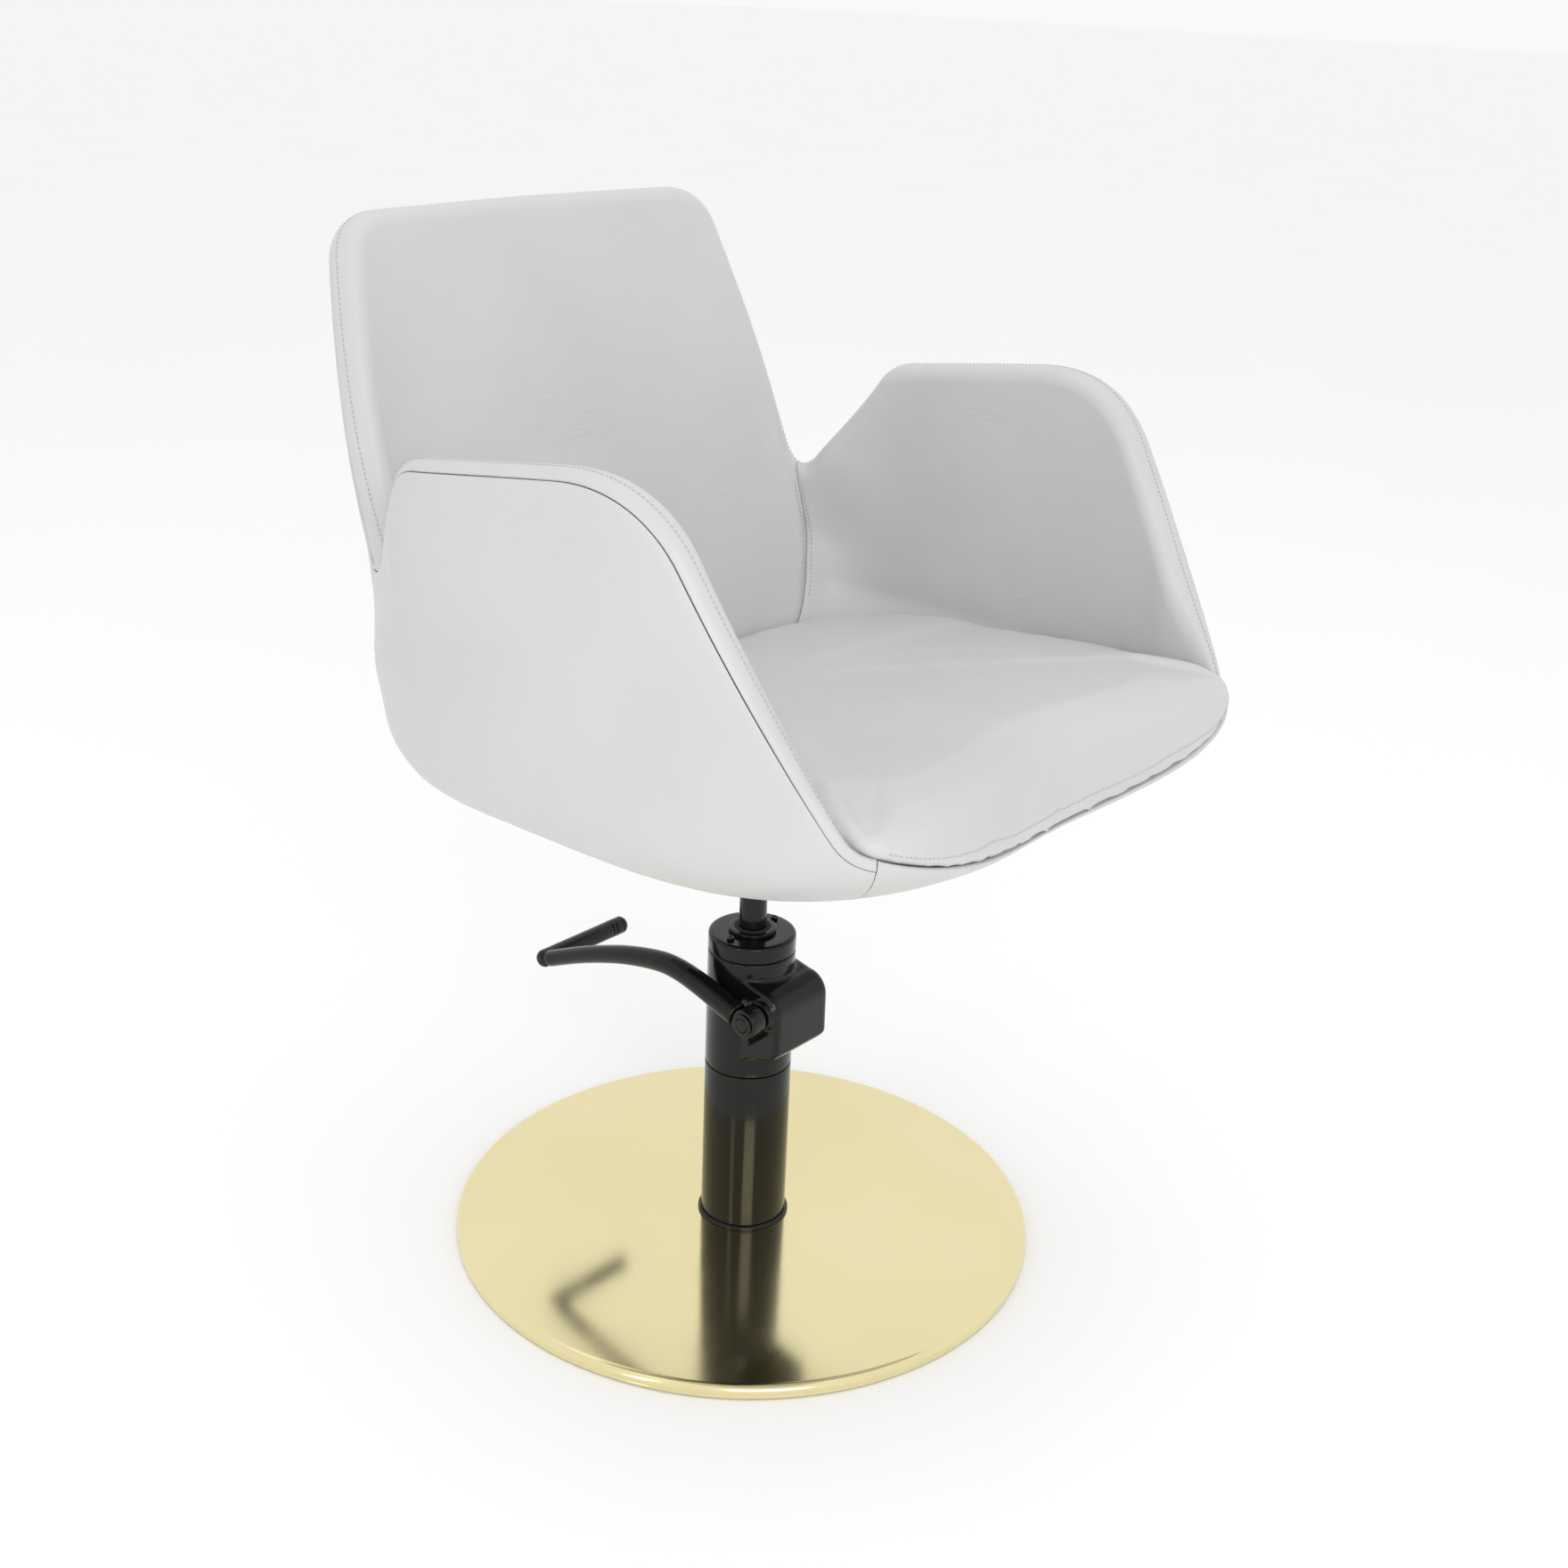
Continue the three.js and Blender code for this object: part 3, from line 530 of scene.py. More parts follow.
def below_rim(angles, heights, drop):
    """The point of the surface at a distance drop square below each rim point, as angle and height."""
    along, upward, inward = surface_frame(angles, heights)
    run = np.gradient(surface(angles, heights), axis=0)
    run /= np.linalg.norm(run, axis=1, keepdims=True)
    across = np.cross(inward, run)
    across *= np.where(np.sum(across * upward, axis=1) > 0, -1, 1)[:, None]
    aa, zz, az = [np.sum(p * q, axis=1) for p, q in ((along, along), (upward, upward), (along, upward))]
    ba, bz = np.sum(across * along, axis=1), np.sum(across * upward, axis=1)
    det = aa * zz - az * az
    turn, fall = (ba * zz - bz * az) / det, (bz * aa - ba * az) / det
    travelled = distances(surface(angles, heights))
    share = eased(np.clip(np.minimum(travelled, travelled[-1] - travelled) / END_BLEND, 0, 1))
    return angles + drop * turn * share, heights + drop * (fall * share - (1 - share))


def column_heights(angle, top, foot, count):
    """Heights from top to foot, evenly spaced along the surface."""
    z = np.linspace(top, foot, 160)
    travelled = distances(surface(np.full_like(z, angle), z))
    return np.interp(np.linspace(0, travelled[-1], count), travelled, z)


# ---------------------------------------------------------------- upholstered walls
RIM_OUTER = (16 * MM, 13 * MM)  # drop and depth of the rim's outer rounding
RIM_INNER = (15 * MM, 14 * MM)
ARM_SEAM, BACK_SEAM = 30, 50  # place of the seam on the outer rounding, in degrees round it
SEAM_CHANGE = [18, 44]  # angles round the seat between which the seam moves up
STITCH_PLACE = (0.0, 15 * MM)  # drop and depth of the stitch row on the rim
STRIP_END = 30 * MM  # below this the wall follows upright columns
COVER_THICKNESS = 8 * MM
LINING_BACK = 17.5 * MM
SEAM_DEPTH = 3.0  # millimetres from the surface to the bottom of the seam


def seam_turn(angles):
    """Where the seam lies on the outer rounding: low on the arms, nearer the top on the back."""
    return np.interp(folded(angles), SEAM_CHANGE, [ARM_SEAM, BACK_SEAM])


def outer_rounding(turn):
    """(drop, depth) on the rim's outer rounding, from 0 degrees on the face to 90 on top."""
    t = np.radians(turn)
    return RIM_OUTER[0] * (1 - np.sin(t)), RIM_OUTER[1] * (1 - np.cos(t))


def inner_rounding(turn):
    t = math.radians(turn)
    return RIM_INNER[0] * (1 - math.sin(t)), WALL - RIM_INNER[1] * (1 - math.cos(t))


def seam_point(turn, inward, towards_top):
    """(drop, depth) inside the seam: so far in, and so far up from it along the rounding."""
    drop, depth = outer_rounding(turn)
    s, c = np.sin(np.radians(turn)), np.cos(np.radians(turn))
    return drop + inward * s - towards_top * c, depth + inward * c + towards_top * s


def lining_section(angles):
    """(drop, depth) pairs from inside the seam, over the rim and down the inner face."""
    turn = seam_turn(angles)
    lips = [(5.0, 1.0), (SEAM_DEPTH, 0.2), (0.9, 0.35), (0.2, 0.9)]
    section = [seam_point(turn, inward * MM, up * MM) for inward, up in lips]
    section += [outer_rounding(turn + (90 - turn) * share) for share in (0.15, 0.35, 0.55, 0.8, 1.0)]
    section += [inner_rounding(t) for t in (90, 78, 66, 54, 42, 30, 18, 8, 0)]
    section += [(20 * MM, WALL), (25 * MM, WALL), (STRIP_END, WALL)]
    return section


def cover_section(angles):
    """(drop, depth) pairs from inside the seam down the outer face."""
    turn = seam_turn(angles)
    lips = [(5.0, -1.4), (SEAM_DEPTH, -0.3), (0.9, -0.45), (0.2, -1.0)]
    section = [seam_point(turn, inward * MM, up * MM) for inward, up in lips]
    section += [outer_rounding(turn * share) for share in (0.8, 0.6, 0.45, 0.3, 0.15, 0.0)]
    section += [(20 * MM, 0.0), (25 * MM, 0.0), (STRIP_END, 0.0)]
    return section


TAPER_START = -43.0  # towards the seat's front corners the walls thin out
TAPER_LEAST = 0.28
HELD_POINTS = 3  # of a section, inside the seam, which the soft shapes leave in place


def thickness(angle):
    """Share of the full wall thickness at these angles."""
    share = np.clip((folded(angle) - LIP_START) / (TAPER_START - LIP_START), 0, 1)
    return TAPER_LEAST + (1 - TAPER_LEAST) * eased(share)


def wall(name, start, end, section, face_depth, foot, rows, back, body, nodes, shape=None):
    """Closed padded wall hanging from the rim between two angles.

    Its shown face follows the section over the rim, then runs down upright columns to the foot.
    back lists the (drop, depth) of the hidden side from the foot up. shape(points, inward, angle, z)
    moves the shown face's points for puckers and soft hollows.
    """
    angles, heights = rim_points(start, end, 4.5 * MM)
    columns = []
    for drop, depth in section(angles):
        a, z = below_rim(angles, heights, drop)
        columns.append((a, z, depth + 0 * a))
    strip_angle, strip_z = columns[-1][0], columns[-1][1]
    below = np.array([column_heights(a, z, foot, rows) for a, z in zip(strip_angle, strip_z)])
    for k in range(1, rows):
        columns.append((strip_angle, below[:, k], np.full_like(strip_angle, face_depth)))
    shown = len(columns)
    for k in range(rows - 1, 0, -3):
        columns.append((strip_angle, below[:, k], np.full_like(strip_angle, back[0][1])))
    for drop, depth in back[1:]:
        a, z = below_rim(angles, heights, drop)
        columns.append((a, z, np.full_like(a, depth)))
    grid = np.stack([layer(a, z, depth * thickness(a)) for a, z, depth in columns], axis=1)
    if shape is not None:
        for k in range(HELD_POINTS, shown):
            a, z, _ = columns[k]
            inward = surface_frame(a, z)[2]
            grid[:, k] = grid[:, k] + inward * shape(grid[:, k], a, z)[:, None]
    count, size = grid.shape[:2]
    faces = rings_faces(count, size) + end_caps(count, size)
    return mesh_piece(name, grid.reshape(-1, 3), faces, body, nodes, math.radians(60))


def soft_noise(points, scale, seed):
    offset = Vector((seed * 3.1, seed * 1.7, seed * 5.3))
    return np.array([noise.noise(Vector(p) * scale + offset) for p in points])


def edge_dip(distance, depth, width):
    """How far a padded face drops at a seam, from the distance to it."""
    return depth * np.exp(-((distance / width) ** 2))


def angle_distance(angle, z, target):
    return np.linalg.norm(surface(angle, z) - surface(np.full_like(angle, target), z), axis=-1)


def lining_shape(points, angle, z):
    """Inward movement of the inner faces: seam dips, gathers under the notches, soft unevenness."""
    move = 0.9 * MM * soft_noise(points, 9.0, 1) + 0.35 * MM * soft_noise(points, 38.0, 2)
    notch_height = rim_height(NOTCH_ANGLE)
    for target in (NOTCH_ANGLE, 180 - NOTCH_ANGLE):
        away = angle_distance(angle, z, target)
        drop = np.maximum(notch_height - z, 0)
        move -= edge_dip(away, 2.2 * MM, 2.6 * MM)
        side = np.where(angle > target, 1.0, -1.0)
        turn = np.arctan2(away * side, drop + 6 * MM)
        reach_down = np.exp(-(((away ** 2 + drop ** 2) ** 0.5 - 26 * MM) / (18 * MM)) ** 2)
        move += 0.8 * MM * reach_down * np.cos(turn * 13)
    return move


def cover_shape(points, angle, z):
    return -(0.7 * MM * soft_noise(points, 7.0, 3) + 0.22 * MM * soft_noise(points, 45.0, 4))


LINING_BACK_SIDE = [
    (0, LINING_BACK), (22 * MM, LINING_BACK), (12 * MM, LINING_BACK - 3 * MM), (8.5 * MM, 12.5 * MM),
]
COVER_BACK_SIDE = [(0, COVER_THICKNESS), (22 * MM, COVER_THICKNESS), (13 * MM, COVER_THICKNESS + 0.5 * MM)]
LINING_ROWS, COVER_ROWS = 60, 70
SEAM_HALF = 0.045  # degrees left between neighbouring walls


def make_walls():
    ranges = {
        "back_lining": (NOTCH_ANGLE + SEAM_HALF, 180 - NOTCH_ANGLE - SEAM_HALF, ["back_pad"]),
        "arm_lining_right": (LIP_START + SEAM_HALF, NOTCH_ANGLE - SEAM_HALF, ["arm_pad_right"]),
        "arm_lining_left": (180 - NOTCH_ANGLE + SEAM_HALF, 180 - LIP_START - SEAM_HALF, ["arm_pad_left"]),
    }
    made = []
    for name, (start, end, nodes) in ranges.items():
        made.append(wall(name, start, end, lining_section, WALL, LINING_FOOT, LINING_ROWS, LINING_BACK_SIDE,
                         "seat", nodes, lining_shape))
    cover_nodes = ["back_cover", "side_cover_right", "side_cover_left"]
    made.append(wall("outer_cover", LIP_START + SEAM_HALF, 180 - LIP_START - SEAM_HALF, cover_section, 0.0,
                     COVER_FOOT, COVER_ROWS, COVER_BACK_SIDE, "seat", cover_nodes, cover_shape))
    return made


def make_apron():
    """Front cover under the seat's lip: its top edge rolls in at the cushion's seam."""
    start, end = -180 - LIP_START + SEAM_HALF, LIP_START - SEAM_HALF
    angles = np.linspace(start, end, 110)
    top = rim_height(angles)
    edge = [(3, 7), (0.6, 4.5), (-0.6, 2.6), (-0.2, 1.1), (1.4, 0.2), (4, -0.3), (9, -0.4), (15, -0.2)]
    rows = [(top - drop * MM, depth * MM) for drop, depth in edge]
    for k in range(1, 37):
        share = 1 - k / 36
        rows.append((COVER_FOOT + (top - 15 * MM - COVER_FOOT) * share ** 1.6, 0.0))
    shown = len(rows)
    for k in range(0, 13):
        share = k / 12
        rows.append((COVER_FOOT + (top - 9 * MM - COVER_FOOT) * share ** 1.6, COVER_THICKNESS))
    grid = np.stack([layer(angles, z, depth) for z, depth in rows], axis=1)
    for k in range(4, shown):
        z = rows[k][0]
        grid[:, k] += surface_frame(angles, z)[2] * cover_shape(grid[:, k], angles, z)[:, None]
    size = grid.shape[1]
    faces = rings_faces(len(angles), size) + end_caps(len(angles), size)
    apron = mesh_piece("front_apron", grid.reshape(-1, 3), faces, "seat", ["front_cover"], math.radians(60))
    return apron


def make_underside():
    """Dished bottom cover, drawn tight from the socket out to the walls."""
    angles = np.linspace(0, 360, 181)[:-1]
    hole = 27 * MM
    circle = np.stack([np.cos(np.radians(angles)), np.sin(np.radians(angles))], -1)
    flat_edge = layer(angles, SHELL_BOTTOM, 0.0)
    outer_edge = layer(angles, COVER_FOOT - 0.4 * MM, 0.0)
    loops = []
    for share in np.linspace(0, 1, 14):
        ring = np.empty_like(flat_edge)
        ring[:, :2] = circle * hole * (1 - share) + flat_edge[:, :2] * share
        ring[:, 2] = SHELL_BOTTOM
        loops.append(ring)
    loops.append(outer_edge)
    loops.append(layer(angles, COVER_FOOT - 0.4 * MM, COVER_THICKNESS))
    loops.append(loops[0] + np.array([0, 0, COVER_THICKNESS]))
    for k in range(1, 13):
        loops[k][:, 2] += 0.5 * MM * soft_noise(loops[k], 14.0, 6) + 0.5 * MM
    grid = np.stack(loops, axis=1)
    faces = rings_faces(len(angles), grid.shape[1], closed_loop=True)
    cover = mesh_piece("underside_cover", grid.reshape(-1, 3), faces, "seat", ["bottom_cover"])
    return cover


# ---------------------------------------------------------------- seat cushion
CUSHION_GAP = 1.2 * MM
CUSHION_FOOT, CUSHION_FLOOR = 520 * MM, 526 * MM
FRONT_BLEND = 4.0  # degrees over which the side section turns into the front roll
CROWN = 7 * MM
VOXEL = 4.5 * MM
PUFF_CAP = 6 * MM
PRESSURE = 3.0
CLOTH_FRAMES = 20


def seat_top(y):
    return SEAT_HEIGHT - SEAT_RAKE * y


def cushion_sections(angles):
    """Rings of the cushion from its foot, up the side or the front roll, to the top."""
    beside_depth = WALL * thickness(angles) + CUSHION_GAP
    probe = layer(angles, SEAT_HEIGHT, beside_depth)
    height = np.minimum(seat_top(probe[:, 1]), rim_height(angles) + 20 * MM)
    beside = [layer_at_height(angles, CUSHION_FOOT, beside_depth + 1 * MM)]
    for up, inward in ((-22, 0), (-10, 0), (-3, 1.5), (1.5, 6), (3.5, 14), (5, 26)):
        beside.append(layer_at_height(angles, height + up * MM, beside_depth + inward * MM))
    rim = rim_height(angles)
    seam = layer(angles, rim + 1.5 * MM, 2.0 * MM)
    rise = seat_top(seam[:, 1]) - seam[:, 2]
    out = np.stack([np.cos(np.radians(angles)), np.sin(np.radians(angles)), 0 * angles], -1)

    def rolled(outward, share):
        moved = seam + out * outward
        moved[:, 2] = seam[:, 2] + share * rise
        return moved

    front = [
        layer(angles, rim - 16 * MM, 12 * MM),
        layer(angles, rim - 3 * MM, 9 * MM),
        seam,
        rolled(1.5 * MM, 0.2),
        rolled(-1.0 * MM, 0.5),
        rolled(-9 * MM, 0.8),
        rolled(-30 * MM, 0.98),
    ]
    past = np.minimum(angles - (180 - LIP_START), 360 + LIP_START - angles)
    share = eased(np.clip((past + FRONT_BLEND) / FRONT_BLEND, 0, 1))[:, None]
    return [b * (1 - share) + f * share for b, f in zip(beside, front)]


def cushion_mesh():
    angles = np.linspace(NOTCH_ANGLE, 360 + NOTCH_ANGLE, 289)[:-1]
    rings = cushion_sections(angles)
    floor = rings[0] * [0.9, 0.9, 1.0] + [0, 0, 4 * MM]
    rings.insert(0, floor)
    edge = rings[-1]
    for share in (0.86, 0.7, 0.52, 0.34, 0.16):
        ring = edge * share
        base = edge[:, 2] + (seat_top(0) - edge[:, 2]) * (1 - share)
        ring[:, 2] = base + CROWN * (1 - share * share)
        rings.append(ring)
    vertices = np.concatenate(rings)
    size = len(angles)
    faces = rings_faces(len(rings), size)
    bottom, top = len(vertices), len(vertices) + 1
    vertices = np.vstack([vertices, [0, 0, CUSHION_FLOOR], [0, 0, seat_top(0) + CROWN]])
    last = (len(rings) - 1) * size
    for i in range(size):
        j = (i + 1) % size
        faces.append((bottom, j, i))
        faces.append((top, last + i, last + j))
    return vertices, faces


def activate(piece):
    bpy.ops.object.select_all(action="DESELECT")
    piece.select_set(True)
    bpy.context.view_layer.objects.active = piece


def coordinates(piece):
    flat = np.empty(len(piece.data.vertices) * 3)
    piece.data.vertices.foreach_get("co", flat)
    return flat.reshape(-1, 3)


def modified(piece, kind, **settings):
    """Adds a modifier of this kind and applies it."""
    activate(piece)
    modifier = piece.modifiers.new("step", kind)
    for name, value in settings.items():
        setattr(modifier, name, value)
    bpy.ops.object.modifier_apply(modifier=modifier.name)


def remeshed(piece, voxel, smoothing):
    modified(piece, "REMESH", mode="VOXEL", voxel_size=voxel)
    smoothed(piece, smoothing)


def smoothed(piece, times):
    modified(piece, "SMOOTH", factor=0.5, iterations=times)



def inflated(piece, pressure, cap, held):
    """Cloth simulation of an air-tight pad: held(points) gives how firmly each point stays, from 0 to 1."""
    rest = coordinates(piece)
    group = piece.vertex_groups.new(name="held")
    for index, weight in enumerate(held(rest)):
        group.add([index], float(weight), "REPLACE")
    activate(piece)
    modifier = piece.modifiers.new("cloth", "CLOTH")
    settings = modifier.settings
    settings.quality = 6
    settings.mass = 0.35
    settings.tension_stiffness = settings.compression_stiffness = 28
    settings.shear_stiffness = 14
    settings.bending_stiffness = 1.2
    settings.use_pressure = True
    settings.uniform_pressure_force = pressure
    settings.vertex_group_mass = group.name
    settings.pin_stiffness = 2.0
    settings.effector_weights.gravity = 0
    modifier.collision_settings.use_self_collision = False
    modifier.collision_settings.use_collision = False
    scene = bpy.context.scene
    modifier.point_cache.frame_start, modifier.point_cache.frame_end = 1, CLOTH_FRAMES
    for number in range(1, CLOTH_FRAMES + 1):
        scene.frame_set(number)
    graph = bpy.context.evaluated_depsgraph_get()
    result = piece.evaluated_get(graph).to_mesh()
    moved = np.empty(len(result.vertices) * 3)
    result.vertices.foreach_get("co", moved)
    piece.evaluated_get(graph).to_mesh_clear()
    piece.modifiers.remove(modifier)
    scene.frame_set(1)
    step = moved.reshape(-1, 3) - rest
    length = np.linalg.norm(step, axis=1, keepdims=True)
    step *= np.minimum(1, cap / np.maximum(length, 1e-9))
    piece.data.vertices.foreach_set("co", (rest + step).ravel())
    piece.vertex_groups.clear()


def cushion_held(points):
    """The cushion's hidden sides and its front seam stay put, and its top is free."""
    angles = np.degrees(np.arctan2(points[:, 1] - SHELL_CENTRE_Y, points[:, 0]))
    front = np.clip((LIP_START + 4 - folded(angles)) / 6, 0, 1)
    level = (rim_height(angles) + 12 * MM) * front + (seat_top(points[:, 1]) - 5 * MM) * (1 - front)
    level = np.minimum(level, seat_top(points[:, 1]) - 5 * MM)
    return np.clip((level - points[:, 2]) / (14 * MM) + 0.25, 0, 1)


def make_cushion():
    vertices, faces = cushion_mesh()
    cushion = mesh_piece("seat_cushion_cover", vertices, faces, "seat", ["seat_cushion"], math.radians(60))
    remeshed(cushion, VOXEL, 3)
    inflated(cushion, PRESSURE, PUFF_CAP, cushion_held)
    smoothed(cushion, 4)
    modified(cushion, "SUBSURF", levels=1, render_levels=1)
    shade_smooth(cushion.data)
    return cushion


# ---------------------------------------------------------------- stitching
STITCH_LENGTH = 3.0 * MM
STITCH_PITCH = 4.3 * MM
THREAD_RADIUS = 0.5 * MM


def evenly(points, normals, pitch):
    """Points, directions and normals every pitch along a line."""
    travelled = distances(points)
    places = np.arange(pitch / 2, travelled[-1], pitch)
    ahead = at_distance(places + 0.5 * MM, travelled, points)
    behind = at_distance(places - 0.5 * MM, travelled, points)
    return at_distance(places, travelled, points), ahead - behind, at_distance(places, travelled, normals)


def stitch_row(lines):
    """Vertices and faces of short threads lying along each (points, outward normals) line."""
    vertices, faces = [], []
    half = [(0.5, 0.25, -0.9), (0.42, 0.8, -0.1), (0.2, 1.0, 0.45)]
    stations = [(-along, girth, lift) for along, girth, lift in half] + half[::-1]
    sides = 7
    for points, normals in lines:
        for at, run, up in zip(*evenly(points, normals, STITCH_PITCH)):
            run, up = Vector(run).normalized(), Vector(up).normalized()
            side = run.cross(up).normalized()
            up = side.cross(run)
            base = len(vertices)
            for along, girth, lift in stations:
                centre = Vector(at) + run * along * STITCH_LENGTH + up * lift * THREAD_RADIUS
                for k in range(sides):
                    turn = 2 * math.pi * k / sides
                    offset = side * math.cos(turn) * 1.15 + up * math.sin(turn)
                    vertices.append(centre + offset * THREAD_RADIUS * girth)
            faces += [tuple(base + v for v in f) for f in rings_faces(len(stations), sides)]
            faces.append(tuple(base + k for k in range(sides)))
            faces.append(tuple(base + (len(stations) - 1) * sides + k for k in range(sides - 1, -1, -1)))
    return vertices, faces


def snapped(points, normals, target):
    """The line moved onto the target's surface, looking for it along the normals."""
    corners, faces = target.data.vertices, target.data.polygons
    tree = BVHTree.FromPolygons([v.co[:] for v in corners], [f.vertices[:] for f in faces])
    on, outward = [], []
    for p, n in zip(points, normals):
        hit, normal, _, _ = tree.ray_cast(Vector(p) + Vector(n) * 12 * MM, -Vector(n), 30 * MM)
        if hit is None:
            hit, normal, _, _ = tree.find_nearest(Vector(p))
        if normal.dot(Vector(n)) < 0:
            normal = -normal
        on.append(hit)
        outward.append(normal)
    return np.array(on), np.array(outward)


def rim_line(start, end):
    """Line along the top of the rim, square above the wall, with its outward normals."""
    angles, heights = rim_points(start, end, 3 * MM)
    drop, depth = STITCH_PLACE
    upward = surface(angles, heights) - surface(*below_rim(angles, heights, 10 * MM))
    upward /= np.linalg.norm(upward, axis=1, keepdims=True)
    return layer(angles, heights - drop, depth * thickness(angles)), upward


def notch_line(target, offset):
    """Upright line down the inner wall beside a notch seam, offset from it in degrees."""
    heights = np.linspace(rim_height(NOTCH_ANGLE) - 16 * MM, 545 * MM, 60)
    angles = np.full_like(heights, target + offset)
    return layer(angles, heights, WALL), surface_frame(angles, heights)[2]


def front_line(rise):
    angles = np.linspace(-180 - LIP_START + 1.0, LIP_START - 1.0, 160)
    points = layer(angles, rim_height(angles) + rise, 0.0)
    normals = -surface_frame(angles, rim_height(angles) + rise)[2]
    return points, normals


def make_stitches(linings, cushion):
    back, right, left = linings
    inset, beside_seam = 0.6, 0.95  # degrees from a row's end to the notch, and from the seam to its row
    rows = {
        "back_stitches": [snapped(*rim_line(NOTCH_ANGLE + inset, 180 - NOTCH_ANGLE - inset), back)],
        "arm_stitches_right": [snapped(*rim_line(LIP_START + inset, NOTCH_ANGLE - inset), right)],
        "arm_stitches_left": [snapped(*rim_line(180 - NOTCH_ANGLE + inset, 180 - LIP_START - inset), left)],
        "front_stitches": [snapped(*front_line(8 * MM), cushion)],
    }
    for target, sign, side in ((NOTCH_ANGLE, 1, right), (180 - NOTCH_ANGLE, -1, left)):
        rows["back_stitches"].append(snapped(*notch_line(target, beside_seam * sign), back))
        name = "arm_stitches_right" if sign > 0 else "arm_stitches_left"
        rows[name].append(snapped(*notch_line(target, -beside_seam * sign), side))
    for name, lines in rows.items():
        vertices, faces = stitch_row(lines)
        piece = mesh_piece(name, vertices, faces, "seat", [])
        piece.data.materials[0] = THREAD


linings_and_cover = make_walls()
make_apron()
make_underside()
seat_cushion = make_cushion()
make_stitches(linings_and_cover[:3], seat_cushion)


# ---------------------------------------------------------------- base and column
base_radius = high_corner("base_cover").x
base_top = high_corner("base_cover").z
cover_sheet = 3 * MM
cover_hole = 37 * MM
SKIRT_THICKNESS = COLUMN_WALL = 3.5 * MM
TAPER_TIP = 11.5 * MM  # radius of the rod's tapered end
REGISTER_RADIUS = 20 * MM  # of the gland nut inside the cover plate


def make_base_disc():
    """Plated disc with a rolled edge, a thin bead below it and a return hidden under the skirt."""
    skirt = base_radius - SKIRT_THICKNESS
    corners = [
        (cover_hole, base_top - cover_sheet, 0),
        (skirt, base_top - cover_sheet, 0),
        (skirt, 1.0 * MM, 0.4),
        (base_radius - 0.8 * MM, 1.0 * MM, 0.5),
        (base_radius, 3.4 * MM, 0.8),
        (base_radius - 0.5 * MM, 4.4 * MM, 0.4),
        (base_radius, 5.4 * MM, 0.8),
        (base_radius, base_top - 3.2 * MM, 3.0),
        (base_radius - 4.5 * MM, base_top, 3.0),
        (cover_hole, base_top, 0),
    ]
    turned("base_disc", corners, "base", ["base_cover"], segments=256)


def make_column():
    radius = high_corner("column_tube").x
    foot, top = span("column_tube", "z")
    inner = radius - COLUMN_WALL
    tube = [(inner, foot, 0), (radius, foot, 0.3), (radius, top, 0.8), (inner, top, 0)]
    turned("column", tube, "base", ["column_tube"], segments=128)
    collar_radius, collar_top = high_corner("foot_collar").x, high_corner("foot_collar").z
    collar = [
        (radius + 0.3 * MM, foot, 0),
        (collar_radius, foot, 0.3),
        (collar_radius, collar_top - 1.8 * MM, 1.0),
        (radius + 0.9 * MM, collar_top, 0.8),
        (radius + 0.3 * MM, collar_top, 0),
    ]
    turned("column_foot", collar, "base", ["foot_collar"], segments=128)


def make_rod():
    radius = high_corner("piston_rod").x
    low, top = span("piston_rod", "z")
    taper_foot = low_corner("seat_socket").z + 4 * MM
    rod = [(0, low, 0), (radius, low, 0.5), (radius, taper_foot, 0), (TAPER_TIP, top, 0.5), (0, top, 0)]
    turned("lift_rod", rod, "rod", ["piston_rod"])
    low, top = span("seat_socket", "z")
    outer, inner = high_corner("seat_socket").x, radius + 0.35 * MM
    socket = [
        (inner, low, 0), (outer - 2 * MM, low, 0.5), (outer, low + 2 * MM, 0.8), (outer, top, 1),
        (0, top, 0), (0, top - 8 * MM, 0), (TAPER_TIP + 0.4 * MM, top - 8.4 * MM, 0),
        (inner, low + 4.6 * MM, 0),
    ]
    turned("swivel_socket", socket, "seat", ["seat_socket"])


def make_pump_top():
    """Cover plate, gland nut and wiper round the rod, and two cover screws."""
    radius = high_corner("pump_cap").x
    low, top = span("pump_cap", "z")
    inner = REGISTER_RADIUS + 0.3 * MM
    plate = [
        (inner, low, 0), (radius - 0.6 * MM, low, 0.3), (radius, low + 0.8 * MM, 0.4),
        (radius, top - 2 * MM, 1.6), (radius - 2 * MM, top, 1.6), (inner + 1.0 * MM, top, 0.5),
        (inner, top - 1 * MM, 0),
    ]
    turned("pump_cover_plate", plate, "base", ["pump_cap"], segments=128)
    rod_hole = high_corner("piston_rod").x + 0.4 * MM
    nut_low, nut_top = span("gland_nut", "z")
    nut_radius, wiper_radius = high_corner("gland_nut").x, 17 * MM
    nut = [
        (rod_hole, nut_low, 0), (REGISTER_RADIUS, nut_low, 0), (REGISTER_RADIUS, top + 0.3 * MM, 0),
        (nut_radius, top + 0.3 * MM, 0.2), (nut_radius, nut_top, 1.4), (wiper_radius, nut_top, 0.4),
        (wiper_radius, top - 6 * MM, 0), (rod_hole, top - 6 * MM, 0),
    ]
    turned("rod_gland_nut", nut, "base", ["gland_nut"])
    lip_top = high_corner("wiper_ring").z
    lip = [
        (rod_hole - 0.2 * MM, top - 5.7 * MM, 0), (wiper_radius - 0.3 * MM, top - 5.7 * MM, 0),
        (wiper_radius - 0.3 * MM, lip_top - 0.6 * MM, 0.3), (15 * MM, lip_top - 0.8 * MM, 0.5),
        (rod_hole + 0.5 * MM, lip_top, 0.3), (rod_hole - 0.2 * MM, lip_top, 0),
    ]
    turned("rod_wiper", lip, "base", ["wiper_ring"])
    for number in (1, 2):
        hex_screw(f"cover_screw_{number}", f"cap_screw_{number}", 3.5 * MM)


